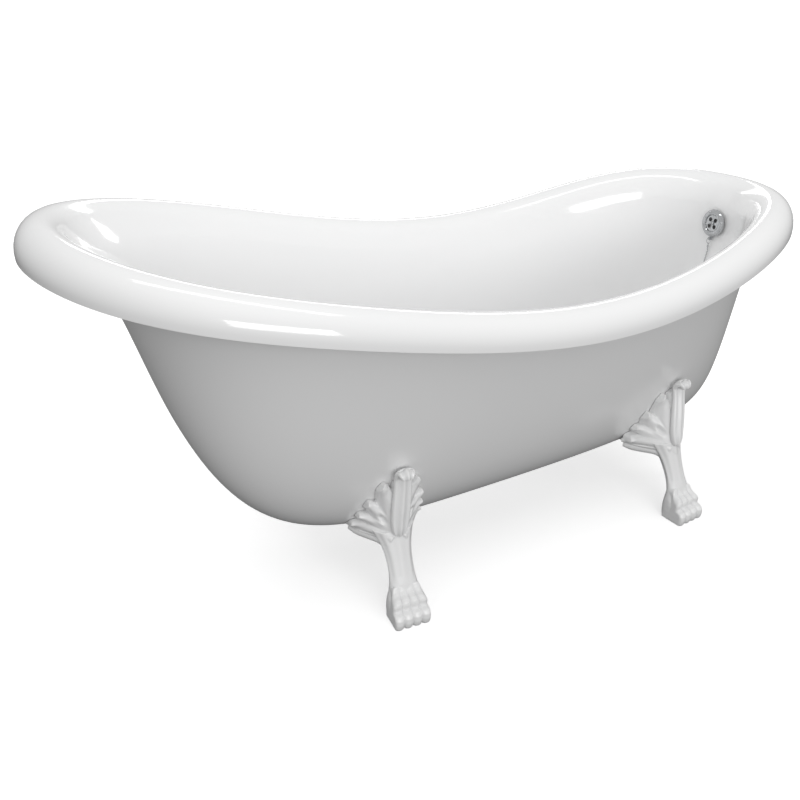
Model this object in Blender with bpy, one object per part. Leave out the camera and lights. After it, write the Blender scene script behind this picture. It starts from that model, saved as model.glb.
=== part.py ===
"""Freestanding slipper bathtub on four claw feet, with its waste, plug and chain overflow.

Frame: metres, +Z up, origin on the floor under the middle of the bath. +X is the length, towards the
overflow end; the high back rest is at -X. Y is the width.

Every shell is a stack of rings round the bath. The rings of the rim follow the rim's core line, and the
rings of the well and of the outer skin are one sweep that shrinks from the core line to the flat base.
"""
from math import ceil, comb, cos, pi, radians, sin

import bmesh
import bpy
from mathutils import Matrix, Vector
from mathutils.bvhtree import BVHTree

# ---- Driving dimensions -----------------------------------------------------------------------------
LENGTH = 1.700  # over the lip, end to end
CORE_WIDTH = 0.700  # between the rim's core lines at mid length
CORE_TAPER = 0.123  # the head end is wider and the overflow end narrower by this share
PLAN_POWER_X = 4.35  # superellipse powers of the plan: long straight sides, round ends
PLAN_POWER_Y = 1.91
RIM_HEIGHTS = (0.750, 0.648, 0.648, 0.321, 0.695, 0.630)  # Bezier heights of the core line, head to foot

LIP_REACH = 0.045  # core line to the outer lip
RIM_RISE = 0.052  # core line to the crown of the rolled rim
RIM_INNER = 0.044  # core line to the well side of the rim
TUB_WALL = 0.005
SKIN_WALL = 0.004
SKIN_INSET = 0.028  # core line to the top of the outer skin
SKIN_END_EASE = 0.020  # the skin stands this much further out at the overflow end
WELL_INSET = 0.050  # core line to the top of the well's wall

UNDERSIDE = 0.125  # floor to the flat under the outer skin
FLOOR_TOP = 0.175  # floor to the well's flat bottom
SWEEP_DEPTH = 0.011  # the sweep would end this far below the flat that cuts it

WASTE_X = 0.440
WASTE_HOLE_R = 0.0225
WASTE_BORE_R = WASTE_HOLE_R - 0.004  # clear way through the waste flange
WASTE_BODY_R = WASTE_HOLE_R + 0.0045
WASTE_COVER_R = WASTE_HOLE_R + 0.0115  # seals and the body's flange
ACCESS_HOLE_R = 0.055  # opening in the outer skin round the waste
OVERFLOW_Z = 0.580
OVERFLOW_HOLE_R = 0.020

PLUG_EYE_Z = 0.0187  # the well's floor to the middle of the plug's eye
PLUG_EYE_R = 0.0050
PIPE_R = 0.0085
SPIGOT_END = 0.046  # waste centre to the mouth of its side branch

STAY_HOLE_DROP = 0.0385  # overflow centre to the hole in the chain stay
STAY_HOLE_REACH = 0.0098  # wall to the hole in the chain stay
STAY_HOLE_R = 0.0018
RING_R = 0.0060
RING_WIRE = 0.0006

CHAIN_R = 0.0016
CHAIN_CLEARANCE = 0.0017
COUPLING_R = 0.0021
COUPLING_LENGTH = 0.0065

FOOT_X = (-0.298, 0.423)  # paw centres, head end and overflow end
FOOT_Y = 0.312
FOOT_SPLAY = radians(5.0)
FOOT_HEIGHT = 0.326  # floor to the tip of the leaf
BOLT_Y = 0.078
BOLT_SPACING = 0.028
BOLT_R = 0.004
LUG_THICKNESS = 0.012
LUG_HALF_WIDTH = 0.0235

BLOCK_LENGTH = 0.060
BLOCK_SPAN = (0.060, 0.093)  # inner and outer edge of each foot block, from the centre line
BOARD_THICKNESS = 0.024
BOARD_X = (-0.250, 0.365)
BOARD_HALF_WIDTH = 0.115

GAP = 0.0003  # between two pieces that touch
SEAT_GAP = 0.0006  # between a piece and a faceted shell that it beds on
THREAD_GAP = 0.0004
RING_SIDES = 40  # facets round the bath

# ---- Profiles of the sweep ---------------------------------------------------------------------------
# Each wall leans in by LEAN * t**BEND and then rounds into the base by (1 - t**HARD) ** (1 / SHARP),
# where t runs from 0 at the rim's core line to 1 at the bottom of the sweep.
HEAD = (0.224, 0.5, 3.43, 5.9)
SIDE = (0.356, 1.0, 5.03, 4.48)
SKIN_FOOT = (0.115, 1.0, 12.0, 8.76)
WELL_FOOT = (0.170, 1.5, 12.0, 8.76)
BASE_POWER_X = 3.95
BASE_POWER_Y = 3.13


# ---- Materials ---------------------------------------------------------------------------------------
def material(name, colour, roughness, metallic=0.0):
    mat = bpy.data.materials.new(name)
    mat.use_nodes = True
    shader = mat.node_tree.nodes["Principled BSDF"]
    shader.inputs["Base Color"].default_value = (*colour, 1.0)
    shader.inputs["Roughness"].default_value = roughness
    shader.inputs["Metallic"].default_value = metallic
    mat.diffuse_color = (*colour, 1.0)
    return mat


# ---- Mesh helpers ------------------------------------------------------------------------------------
def new_object(name, bm, mat, matrix=None):
    bmesh.ops.recalc_face_normals(bm, faces=bm.faces)
    mesh = bpy.data.meshes.new(name)
    bm.to_mesh(mesh)
    bm.free()
    mesh.shade_smooth()
    mesh.set_sharp_from_angle(angle=radians(35))
    obj = bpy.data.objects.new(name, mesh)
    bpy.context.collection.objects.link(obj)
    if mat is not None:
        mesh.materials.append(mat)
    if matrix is not None:
        obj.matrix_world = matrix
    return obj


def skin_rings(bm, rings, closed_profile=False, triangles=False):
    """Faces between neighbouring rings of equal length; a closed profile also joins last to first."""
    rows = [[bm.verts.new(p) for p in ring] for ring in rings]
    pairs = list(zip(rows, rows[1:])) + ([(rows[-1], rows[0])] if closed_profile else [])
    for low, high in pairs:
        for i in range(len(low)):
            j = (i + 1) % len(low)
            if triangles:
                bm.faces.new((low[i], low[j], high[j]))
                bm.faces.new((low[i], high[j], high[i]))
            else:
                bm.faces.new((low[i], low[j], high[j], high[i]))
    if not closed_profile:
        bm.faces.new(rows[0])
        bm.faces.new(rows[-1])
    return rows


def circle(radius, z, sides, hexagonal=False):
    flat = cos(pi / 6)
    return [
        Vector((radius * (flat if hexagonal and i % 2 else 1) * cos(2 * pi * i / sides),
                radius * (flat if hexagonal and i % 2 else 1) * sin(2 * pi * i / sides), z))
        for i in range(sides)
    ]


def turned(name, profile, mat, matrix, sides=20, ring=False):
    """A turned solid about local Z; profile is (radius, z) or (radius, z, 'hex') from end to end."""
    bm = bmesh.new()
    skin_rings(bm, [circle(p[0], p[1], sides, len(p) > 2) for p in profile], closed_profile=ring)
    return new_object(name, bm, mat, matrix)


def box(name, low, high, mat=None, matrix=None):
    bm = bmesh.new()
    bmesh.ops.create_cube(bm, size=1.0)
    low, high = Vector(low), Vector(high)
    for v in bm.verts:
        v.co = Vector((low[k] + (v.co[k] + 0.5) * (high[k] - low[k]) for k in range(3)))
    return new_object(name, bm, mat, matrix)


def tool(obj):
    """Marks a cutter or a piece to be joined: it is not part of the bath."""
    obj.hide_render = True
    obj.display_type = "WIRE"
    return obj


def combine(obj, other, operation):
    mod = obj.modifiers.new(f"{operation.lower()} {other.name}", "BOOLEAN")
    mod.operation = operation
    mod.solver = "EXACT"
    mod.object = tool(other)


def drill(obj, name, centre, axis, radius, depth, sides=10):
    """Cuts a hole of this radius along axis, centred on centre."""
    turn = Vector((0, 0, 1)).rotation_difference(Vector(axis)).to_matrix().to_4x4()
    cutter = turned(name, [(radius, depth / 2), (radius, -depth / 2)], None,
                    Matrix.Translation(centre) @ turn, sides)
    combine(obj, cutter, "DIFFERENCE")


# ---- The shape of the bath ---------------------------------------------------------------------------
CORE_HALF_LENGTH = LENGTH / 2 - LIP_REACH


def signed_power(value, power):
    return (abs(value) ** power) * (1 if value >= 0 else -1)


def core_height(x):
    u = min(max((x / (LENGTH / 2) + 1) / 2, 0), 1)
    last = len(RIM_HEIGHTS) - 1
    return sum(comb(last, i) * u**i * (1 - u) ** (last - i) * h for i, h in enumerate(RIM_HEIGHTS))


def plan_point(angle, half_length, half_width, power_x, power_y):
    x = half_length * signed_power(cos(angle), 2 / power_x)
    y = half_width * signed_power(sin(angle), 2 / power_y)
    return x, y * (1 - CORE_TAPER * x / half_length)


def core_point(angle):
    x, y = plan_point(angle, CORE_HALF_LENGTH, CORE_WIDTH / 2, PLAN_POWER_X, PLAN_POWER_Y)
    return Vector((x, y, core_height(x)))


def core_normal(angle):
    step = 1e-4
    along = core_point(angle + step) - core_point(angle - step)
    return Vector((along.y, -along.x, 0)).normalized()


def even_angles(count):
    """Plan angles that space the ring's points evenly, with a flat facet at both ends of the bath."""
    fine = 7200
    points = [core_point(2 * pi * i / fine).to_2d() for i in range(fine + 1)]
    travelled = [0.0]
    for p, q in zip(points, points[1:]):
        travelled.append(travelled[-1] + (q - p).length)
    angles = []
    i = 0
    for k in range(count):
        target = travelled[-1] * (k + 0.5) / count
        while travelled[i + 1] < target:
            i += 1
        share = (target - travelled[i]) / (travelled[i + 1] - travelled[i])
        angles.append(2 * pi * (i + share) / fine)
    return angles


def rim_ring(angles, turn, wall=0.0):
    """A ring of the rolled rim: turn 0 is the lip, 90 degrees the crown and 180 the well side."""
    ring = []
    for angle in angles:
        reach = (LIP_REACH if cos(turn) > 0 else RIM_INNER) - wall
        offset = core_normal(angle) * reach * cos(turn)
        ring.append(core_point(angle) + offset + Vector((0, 0, (RIM_RISE - wall) * sin(turn))))
    return ring


def sweep_point(angle, share, inset, end_ease, foot, flat_z):
    """A point of the well or the skin; share runs from 0 at the core line to 1 at the flat at flat_z."""
    facing = cos(angle)
    lean, bend, hard, sharp = foot if facing > 0 else HEAD
    half_length = CORE_HALF_LENGTH - inset + end_ease * max(facing, 0) ** 4
    x, y = plan_point(angle, half_length, CORE_WIDTH / 2 - inset, PLAN_POWER_X, PLAN_POWER_Y)
    top = core_height(x)
    t = share * (top - flat_z) / (top - flat_z + SWEEP_DEPTH)
    power_x = 1 / (1 / PLAN_POWER_X + (1 / BASE_POWER_X - 1 / PLAN_POWER_X) * t)
    power_y = 1 / (1 / PLAN_POWER_Y + (1 / BASE_POWER_Y - 1 / PLAN_POWER_Y) * t)
    x, y = plan_point(angle, half_length, CORE_WIDTH / 2 - inset, power_x, power_y)
    side_lean, side_bend, side_hard, side_sharp = SIDE
    x *= (1 - lean * t**bend) * (1 - t**hard) ** (1 / sharp)
    y *= (1 - side_lean * t**side_bend) * (1 - t**side_hard) ** (1 / side_sharp)
    return Vector((x, y, top - share * (top - flat_z)))


def skin_ring(angles, share, wall=0.0):
    return [sweep_point(a, share, SKIN_INSET + wall, SKIN_END_EASE, SKIN_FOOT, UNDERSIDE + wall)
            for a in angles]


def well_ring(angles, share, wall=0.0):
    return [sweep_point(a, share, WELL_INSET - wall, 0.0, WELL_FOOT, FLOOR_TOP - wall) for a in angles]


# ---- Shells ------------------------------------------------------------------------------------------
def make_inner_tub(angles, mat):
    """One moulded sheet: rolled rim, wall and flat bottom, with the waste hole in it."""
    top = [rim_ring(angles, radians(d)) for d in (0, 30, 60, 90, 120, 150)]
    top += [well_ring(angles, s) for s in (0.02, 0.24, 0.46, 0.66, 0.81, 0.92, 1.0)]
    under = [rim_ring(angles, radians(d), TUB_WALL) for d in (0, 45, 90, 140)]
    under += [well_ring(angles, s, TUB_WALL) for s in (0.02, 0.28, 0.55, 0.76, 0.90, 1.0)]
    bm = bmesh.new()
    skin_rings(bm, top[::-1] + under, triangles=True)
    tub = new_object("inner_tub", bm, mat)
    drill(tub, "cutter_waste_hole", (WASTE_X, 0, FLOOR_TOP), (0, 0, 1), WASTE_HOLE_R, 0.03, 24)
    return tub


def surface_tree(obj):
    bm = bmesh.new()
    bm.from_mesh(obj.data)
    tree = BVHTree.FromBMesh(bm)
    bm.free()
    return tree


SKIN_SHARES = (0, 0.07, 0.24, 0.44, 0.62, 0.76, 0.87, 0.95, 1.0)


def seat_height(tub_tree, p):
    """The highest a piece may reach under the rim at this place."""
    return tub_tree.ray_cast(p - Vector((0, 0, 0.02)), Vector((0, 0, 1)))[0].z - SEAT_GAP


def seated_edge(tub_tree, ring):
    """The ring raised to the rim's underside, clear of it along the chords too."""
    heights = [seat_height(tub_tree, p) for p in ring]
    lower = [0.0] * len(ring)
    for i, p in enumerate(ring):
        j = (i + 1) % len(ring)
        for share in (0.125, 0.25, 0.375, 0.5, 0.625, 0.75, 0.875):
            allowed = seat_height(tub_tree, p.lerp(ring[j], share))
            excess = heights[i] + (heights[j] - heights[i]) * share - allowed
            lower[i] = max(lower[i], excess)
            lower[j] = max(lower[j], excess)
    return [Vector((p.x, p.y, height - drop)) for p, height, drop in zip(ring, heights, lower)]


def make_outer_skin(angles, tub_tree, mat):
    """The outer shell: its top edge beds under the rim, and its base opens round the waste."""
    outer = [skin_ring(angles, s) for s in SKIN_SHARES]
    inner = [skin_ring(angles, s, SKIN_WALL) for s in (0, 0.28, 0.58, 0.80, 0.92, 1.0)]
    for rings in (outer, inner):
        rings.insert(0, seated_edge(tub_tree, rings[0]))
    bm = bmesh.new()
    skin_rings(bm, outer[::-1] + inner, triangles=True)
    skin = new_object("outer_skin", bm, mat)
    drill(skin, "cutter_access_hole", (WASTE_X, 0, UNDERSIDE), (0, 0, 1), ACCESS_HOLE_R, 0.03, 24)
    return skin


def make_skin_hull(angles):
    """The skin's outer surface as a solid, one seat gap larger, to trim what beds against it."""
    grown = [skin_ring(angles, s, -SEAT_GAP) for s in SKIN_SHARES]
    bm = bmesh.new()
    skin_rings(bm, grown[::-1], triangles=True)
    return tool(new_object("guide_skin_hull", bm, None))


# ---- Feet and base -----------------------------------------------------------------------------------
# Level, half width, back, front and squareness of each section of a foot. Levels 0 to 1 run from the
# floor to the underside of the bath, and 1 to 2 from there to the tip of the leaf. A back of None beds
# the section on the outer skin, and its front is then measured from the line of the leaf's front.
FOOT_SECTIONS = (
    (0.00, 0.0340, -0.030, 0.036, 0.55),
    (0.12, 0.0365, -0.031, 0.040, 0.60),
    (0.22, 0.0360, -0.031, 0.038, 0.70),
    (0.26, 0.0345, -0.031, 0.026, 0.70),
    (0.36, 0.0300, -0.030, 0.020, 0.80),
    (0.46, 0.0210, -0.028, 0.006, 0.90),
    (0.62, 0.0165, -0.026, 0.004, 0.95),
    (0.86, 0.0160, -0.036, -0.007, 0.95),
    (1.04, 0.0190, -0.054, -0.014, 1.00),
    (1.14, 0.0300, -0.088, -0.018, 1.00),
    (1.24, 0.0520, None, 0.002, 1.30),
    (1.34, 0.0780, None, 0.004, 1.45),
    (1.46, 0.0860, None, 0.004, 1.45),
    (1.58, 0.0600, None, 0.002, 1.30),
    (1.74, 0.0320, None, 0.000, 1.10),
    (1.90, 0.0230, None, 0.002, 0.90),
    (2.00, 0.0130, None, 0.000, 0.90),
)
FOOT_SIDES = 12
LEAF_BASE = (1.14, -0.022)  # level and place of the front at the leaf's base
LEAF_TIP = 0.012  # thickness of the leaf's tip over the skin


def foot_level(level):
    if level <= 1:
        return level * UNDERSIDE
    return UNDERSIDE + (level - 1) * (FOOT_HEIGHT - UNDERSIDE)


def make_foot(name, foot_x, side, hull, hull_tree, mat):
    """A cast claw foot: paw, shank and leaf in one, with a lug that runs in under the base to its bolts."""
    splay = FOOT_SPLAY * (1 if foot_x > 0 else -1)
    outward = Vector((sin(splay), -cos(splay), 0))
    across = Vector((cos(splay), sin(splay), 0))
    base = Vector((foot_x, -FOOT_Y, 0))

    def skin_at(z):
        return 0.3 - hull_tree.ray_cast(base + outward * 0.3 + Vector((0, 0, z)), -outward)[3]

    tip = skin_at(FOOT_HEIGHT - 0.001) + LEAF_TIP
    rings = []
    for level, half_width, back, front, squareness in FOOT_SECTIONS:
        z = foot_level(level)
        if back is None:
            up = (level - LEAF_BASE[0]) / (2 - LEAF_BASE[0])
            front += LEAF_BASE[1] + (tip - LEAF_BASE[1]) * up
            back = 2 * skin_at(z) - front
        centre, half_depth = (front + back) / 2, (front - back) / 2
        ring = []
        for i in range(FOOT_SIDES):
            turn = 2 * pi * i / FOOT_SIDES
            s = half_width * signed_power(sin(turn), squareness)
            u = centre + half_depth * signed_power(cos(turn), squareness)
            p = across * s + outward * u
            ring.append(Vector((p.x, p.y * -side, z)))
        rings.append(ring)
    bm = bmesh.new()
    skin_rings(bm, rings)
    foot = new_object(name, bm, mat, Matrix.Translation((foot_x, side * FOOT_Y, 0)))
    lug_bottom = UNDERSIDE - SEAT_GAP - LUG_THICKNESS
    outline = ((BOLT_Y - 0.012, lug_bottom), (FOOT_Y - 0.155, lug_bottom),
               (FOOT_Y - 0.072, UNDERSIDE + 0.0145),
               (FOOT_Y - 0.043, UNDERSIDE + 0.0225), (FOOT_Y - 0.046, UNDERSIDE + 0.057),
               (FOOT_Y - 0.110, UNDERSIDE + 0.050), (FOOT_Y - 0.160, UNDERSIDE + 0.012),
               (BOLT_Y - 0.012, UNDERSIDE + 0.003))
    lug_rings = [[Vector((foot_x + shift * LUG_HALF_WIDTH, side * y, z)) for y, z in outline]
                 for shift in (-1, 1)]
    bm = bmesh.new()
    skin_rings(bm, lug_rings)
    combine(foot, new_object(f"cutter_{name}_lug", bm, None), "UNION")
    combine(foot, hull, "DIFFERENCE")
    return foot


def bolt_places():
    for foot_x in FOOT_X:
        for side in (-1, 1):
            for shift in (-1, 1):
                yield Vector((foot_x + shift * BOLT_SPACING / 2, side * BOLT_Y, 0)), foot_x, side


def make_base(skin, feet, mats):
    """Blocks between skin and tub over each foot, the board under the bather, and the foot bolts."""
    low = UNDERSIDE + SKIN_WALL + GAP
    high = FLOOR_TOP - TUB_WALL - GAP
    blocks = {}
    for foot_x in FOOT_X:
        for side in (-1, 1):
            edges = sorted(side * edge for edge in BLOCK_SPAN)
            name = "foot_block_" + foot_name(foot_x, side)
            blocks[foot_x, side] = box(name, (foot_x - BLOCK_LENGTH / 2, edges[0], low),
                                       (foot_x + BLOCK_LENGTH / 2, edges[1], high), mats["timber"])
    box("base_board", (BOARD_X[0], -BOARD_HALF_WIDTH, high - BOARD_THICKNESS),
        (BOARD_X[1], BOARD_HALF_WIDTH, high), mats["timber"])
    hole = BOLT_R + THREAD_GAP
    lug_bottom = UNDERSIDE - SEAT_GAP - LUG_THICKNESS
    washer = 0.0016
    for n, (place, foot_x, side) in enumerate(bolt_places(), 1):
        for k, obj in enumerate((feet[foot_x, side], skin, blocks[foot_x, side])):
            middle = (lug_bottom, UNDERSIDE, low)[k]
            drill(obj, f"cutter_bolt_hole_{n}_{k}", place + Vector((0, 0, middle)), (0, 0, 1), hole,
                  (0.03, 0.02, 0.066)[k])
        under = Matrix.Translation(place + Vector((0, 0, lug_bottom - GAP)))
        turned(f"foot_washer_{n}", [(hole, 0), (hole, -washer), (0.009, -washer), (0.009, 0)],
               mats["zinc"], under, 12, ring=True)
        head = -washer - GAP
        turned(f"foot_bolt_{n}", [(BOLT_R, 0.046), (BOLT_R, head), (0.0075, head, "hex"),
                                  (0.0075, head - 0.0053, "hex")], mats["zinc"], under, 12)


def foot_name(foot_x, side):
    return ("head" if foot_x < 0 else "foot") + ("_near" if side < 0 else "_far")


# ---- Waste and plug ----------------------------------------------------------------------------------
# Heights here are from the well's floor.
def make_waste(mats):
    at = Matrix.Translation((WASTE_X, 0, FLOOR_TOP))
    under = -TUB_WALL
    seal = 0.001
    inside = WASTE_HOLE_R + 0.001
    turned("waste_top_seal", [(inside, GAP), (WASTE_COVER_R, GAP), (WASTE_COVER_R, GAP + seal),
                              (inside, GAP + seal)], mats["rubber"], at, ring=True)
    seat = 2 * GAP + seal
    bore = WASTE_BORE_R
    tube = WASTE_HOLE_R - 0.001
    flange = turned("waste_flange", [
        (tube, seat), (WASTE_COVER_R + 0.001, seat), (WASTE_COVER_R + 0.001, seat + 0.0014),
        (WASTE_COVER_R - 0.0005, seat + 0.0026), (tube + 0.0075, seat + 0.0032),
        (WASTE_HOLE_R, seat + 0.0026), (bore + 0.0025, seat + 0.0020),
        (bore + 0.0008, -0.0060), (bore, -0.0100), (bore, -0.0190), (tube, -0.0190),
    ], mats["chrome"], at, ring=True)
    spider = turned("cutter_waste_spider", [(bore + 0.001, -0.0160), (bore + 0.001, -0.0187)], None, at)
    combine(flange, spider, "UNION")
    grid_r = bore / 2 - 0.00405
    grid_out = 0.0056 + grid_r
    for k in range(4):
        turn = pi / 4 + k * pi / 2
        drill(flange, f"cutter_waste_grid_{k}",
              at @ Vector((grid_out * cos(turn), grid_out * sin(turn), -0.0175)), (0, 0, 1), grid_r, 0.008)
    drill(flange, "cutter_waste_screw_hole", at @ Vector((0, 0, -0.0175)), (0, 0, 1), 0.0035, 0.008)
    low_seal = under - GAP - 0.004
    turned("waste_lower_seal", [(inside, under - GAP), (inside, low_seal), (WASTE_COVER_R - 0.001, low_seal),
                                (WASTE_COVER_R - 0.001, under - GAP)], mats["rubber"], at, ring=True)
    top = low_seal - GAP
    pipe_z = pipe_level() - FLOOR_TOP
    body = turned("waste_body", [
        (WASTE_COVER_R, top), (WASTE_COVER_R, top - 0.003),
        (WASTE_BODY_R, top - 0.0045), (WASTE_BODY_R, pipe_z - 0.0125),
        (0.0210, pipe_z - 0.0185), (0.0210, -0.0900), (0.0180, -0.0900), (0.0180, pipe_z - 0.0145),
        (WASTE_HOLE_R + 0.0005, pipe_z - 0.0105), (WASTE_HOLE_R + 0.0005, top),
    ], mats["pipe_plastic"], at, ring=True)
    in_wall = WASTE_BODY_R - 0.0025
    combine(body, box("cutter_waste_bridge", (WASTE_X - in_wall, -0.004, FLOOR_TOP + pipe_z - 0.004),
                      (WASTE_X + in_wall, 0.004, FLOOR_TOP + pipe_z + 0.003)), "UNION")
    spigot = turned("cutter_waste_spigot", [(PIPE_R, SPIGOT_END - in_wall), (PIPE_R, 0)], None,
                    Matrix.Translation((WASTE_X + in_wall, 0, FLOOR_TOP + pipe_z))
                    @ Matrix.Rotation(pi / 2, 4, "Y"))
    combine(body, spigot, "UNION")
    drill(body, "cutter_waste_bridge_hole", at @ Vector((0, 0, pipe_z)), (0, 0, 1), 0.0034, 0.02)
    head = -0.0160 + GAP
    turned("waste_screw", [(0.0050, head + 0.0027), (0.0060, head + 0.0017), (0.0060, head),
                           (0.0030, head), (0.0030, pipe_z - 0.006)], mats["zinc"], at, 16)


def make_plug(mats):
    at = Matrix.Translation((WASTE_X, 0, FLOOR_TOP))
    bore = WASTE_BORE_R
    core = bore - 0.0027
    turned("plug_body", [
        (0.0022, 0.0105), (bore - 0.0035, 0.0100), (bore + 0.0030, 0.0082), (bore + 0.0055, 0.0062),
        (bore + 0.0055, 0.0053), (core, 0.0053), (core, -0.0083), (bore - 0.0013, -0.0083),
        (bore - 0.0013, -0.0095), (0.0022, -0.0095),
    ], mats["chrome"], at, ring=True)
    turned("plug_seal", [(core + GAP, 0.0048), (bore + 0.0021, 0.0048), (bore - 0.0002, -0.0080),
                         (core + GAP, -0.0080)],
           mats["rubber"], at, ring=True)
    eye = turned("plug_eye", [(0.0018, 0.0150), (0.0018, 0.0126), (0.0040, 0.0120), (0.0040, 0.0108),
                              (0.0018, 0.0108), (0.0018, -0.0119)], mats["chrome"], at, 12)
    loop = hoop("cutter_plug_loop", PLUG_EYE_R, 0.0009, None,
                at @ Matrix.Translation((0, 0, PLUG_EYE_Z)) @ Matrix.Rotation(pi / 2, 4, "X"))
    combine(eye, loop, "UNION")
    turned("plug_nut", [(0.0022, -0.0098), (0.0022, -0.0118), (0.0046, -0.0118, "hex"),
                        (0.0046, -0.0098, "hex")], mats["zinc"], at, 12, ring=True)


def hoop(name, major, minor, mat, matrix, sides=16, wire_sides=6, shift=(0, 0, 0)):
    """A ring of round wire about local Z, its middle moved by shift from the object's origin."""
    rings = []
    for i in range(sides):
        a = 2 * pi * i / sides
        ring = []
        for j in range(wire_sides):
            b = 2 * pi * j / wire_sides
            reach = major + minor * cos(b)
            ring.append(Vector((reach * cos(a), reach * sin(a), minor * sin(b))) + Vector(shift))
        rings.append(ring)
    bm = bmesh.new()
    skin_rings(bm, rings, closed_profile=True)
    return new_object(name, bm, mat, matrix)


def pipe_level():
    """Height of the overflow pipe under the floor: half way between tub and skin."""
    return (UNDERSIDE + SKIN_WALL + FLOOR_TOP - TUB_WALL) / 2


# ---- Overflow ----------------------------------------------------------------------------------------
def overflow_frame(tub_tree):
    """Local Z points into the well and local Y up the wall, from the wall's facet behind the overflow."""
    hit, normal = tub_tree.ray_cast(Vector((WASTE_X, 0, OVERFLOW_Z)), Vector((1, 0, 0)))[:2]
    up = Vector((0, 1, 0)).cross(normal)
    if up.z < 0:
        up = -up
    frame = Matrix((up.cross(normal), up, normal)).transposed().to_4x4()
    return Matrix.Translation(hit) @ frame


def make_overflow(tub, frame, mats):
    drill(tub, "cutter_overflow_hole", frame.translation, frame.to_3x3() @ Vector((0, 0, 1)),
          OVERFLOW_HOLE_R, 0.04, 24)
    inner = OVERFLOW_HOLE_R + 0.0015
    seal = 0.0015
    turned("overflow_front_seal", [(inner, GAP), (0.0300, GAP), (0.0300, GAP + seal), (inner, GAP + seal)],
           mats["rubber"], frame, ring=True)
    stay_z = 2 * GAP + seal
    stay_top = stay_z + 0.0012
    stay = turned("chain_stay", [(inner, stay_z), (0.0290, stay_z), (0.0290, stay_top), (inner, stay_top)],
                  mats["chrome"], frame, ring=True)
    tip = -STAY_HOLE_DROP - 0.0035
    combine(stay, box("cutter_stay_tab", (-0.004, tip, stay_z + 1e-4), (0.004, -0.0265, stay_top - 1e-4),
                      matrix=frame), "UNION")
    combine(stay, box("cutter_stay_fin", (-0.0008, tip, stay_z + 2e-4),
                      (0.0008, tip + 0.0075, STAY_HOLE_REACH + 0.004), matrix=frame), "UNION")
    drill(stay, "cutter_stay_hole", frame @ Vector((0, -STAY_HOLE_DROP, STAY_HOLE_REACH)), (0, 1, 0),
          STAY_HOLE_R, 0.008)
    back = stay_top + GAP
    rose = turned("overflow_rose", [
        (0.0185, back), (0.0330, back), (0.0335, back + 0.0024), (0.0325, back + 0.0060),
        (0.0290, back + 0.0090), (0.0245, back + 0.0100), (0.0205, back + 0.0090),
        (0.0190, back + 0.0054), (0.0035, back + 0.0054), (0.0035, back + 0.0024), (0.0180, back + 0.0024),
    ], mats["chrome"], frame, 24, ring=True)
    axis = frame.to_3x3() @ Vector((0, 0, 1))
    for k in range(4):
        turn = pi / 4 + k * pi / 2
        drill(rose, f"cutter_rose_hole_{k}",
              frame @ Vector((0.0113 * cos(turn), 0.0113 * sin(turn), back + 0.004)), axis, 0.0050, 0.009)
    under = -TUB_WALL - GAP
    turned("overflow_back_seal", [(inner, under), (inner, under - 0.002), (0.0290, under - 0.002),
                                  (0.0290, under)], mats["rubber"], frame, ring=True)
    face = under - 0.002 - GAP
    boss = 0.0065
    elbow = turned("overflow_elbow", [
        (0.0034, face - 0.0120), (0.0034, face + 0.0010), (boss, face + 0.0010), (boss, face - 0.0150),
        (0.0225, face - 0.0150), (0.0225, face), (0.0300, face), (0.0300, face - 0.0034),
        (0.0255, face - 0.0054), (0.0255, face - 0.0175),
    ], mats["pipe_plastic"], frame)
    spigot_z = face - 0.0102
    down = frame @ Matrix.Translation((0, -0.0180, spigot_z)) @ Matrix.Rotation(pi / 2, 4, "X")
    combine(elbow, turned("cutter_elbow_spigot", [(PIPE_R, 0.027), (PIPE_R, 0)], None, down), "UNION")
    head = back + 0.0054 + GAP
    turned("overflow_screw", [(0.0020, head + 0.0030), (0.0042, head + 0.0022), (0.0050, head + 0.0008),
                              (0.0050, head), (0.0030, head), (0.0030, face - 0.0110)],
           mats["chrome"], frame, 16)
    return down @ Vector((0, 0, 0.027)), down.to_3x3() @ Vector((0, 0, 1))


def smooth_line(points, spacing):
    """Points at about this spacing along a Catmull-Rom curve through the given ones."""
    points = [Vector(p) for p in points]
    ends = [2 * points[0] - points[1]] + points + [2 * points[-1] - points[-2]]
    line = [points[0]]
    for a, b, c, d in zip(ends, ends[1:], ends[2:], ends[3:]):
        steps = max(1, ceil((c - b).length / spacing))
        for k in range(1, steps + 1):
            t = k / steps
            line.append(0.5 * ((2 * b) + (c - a) * t + (2 * a - 5 * b + 4 * c - d) * t * t
                               + (3 * b - a - 3 * c + d) * t**3))
    return line


def tube(name, line, radius, mat, bevel_resolution=2):
    curve = bpy.data.curves.new(name, "CURVE")
    curve.dimensions = "3D"
    curve.bevel_depth = radius
    curve.bevel_resolution = bevel_resolution
    curve.use_fill_caps = True
    curve.render_resolution_u = 0
    spline = curve.splines.new("POLY")
    spline.points.add(len(line) - 1)
    for point, place in zip(spline.points, line):
        point.co = (*place, 1.0)
    curve.materials.append(mat)
    obj = bpy.data.objects.new(name, curve)
    bpy.context.collection.objects.link(obj)
    return obj


def cavity_middle(tub_tree, skin_tree, origin, slope):
    """The point half way between tub and skin along a ray in the plane y = 0, slope degrees above level."""
    heading = Vector((cos(radians(slope)), 0, sin(radians(slope))))
    inside = tub_tree.ray_cast(origin, heading)[0]
    outside = tub_tree.ray_cast(inside + heading * 0.001, heading)[0]
    skin = skin_tree.ray_cast(outside + heading * 0.001, heading)[0]
    return (outside + skin) / 2


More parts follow.
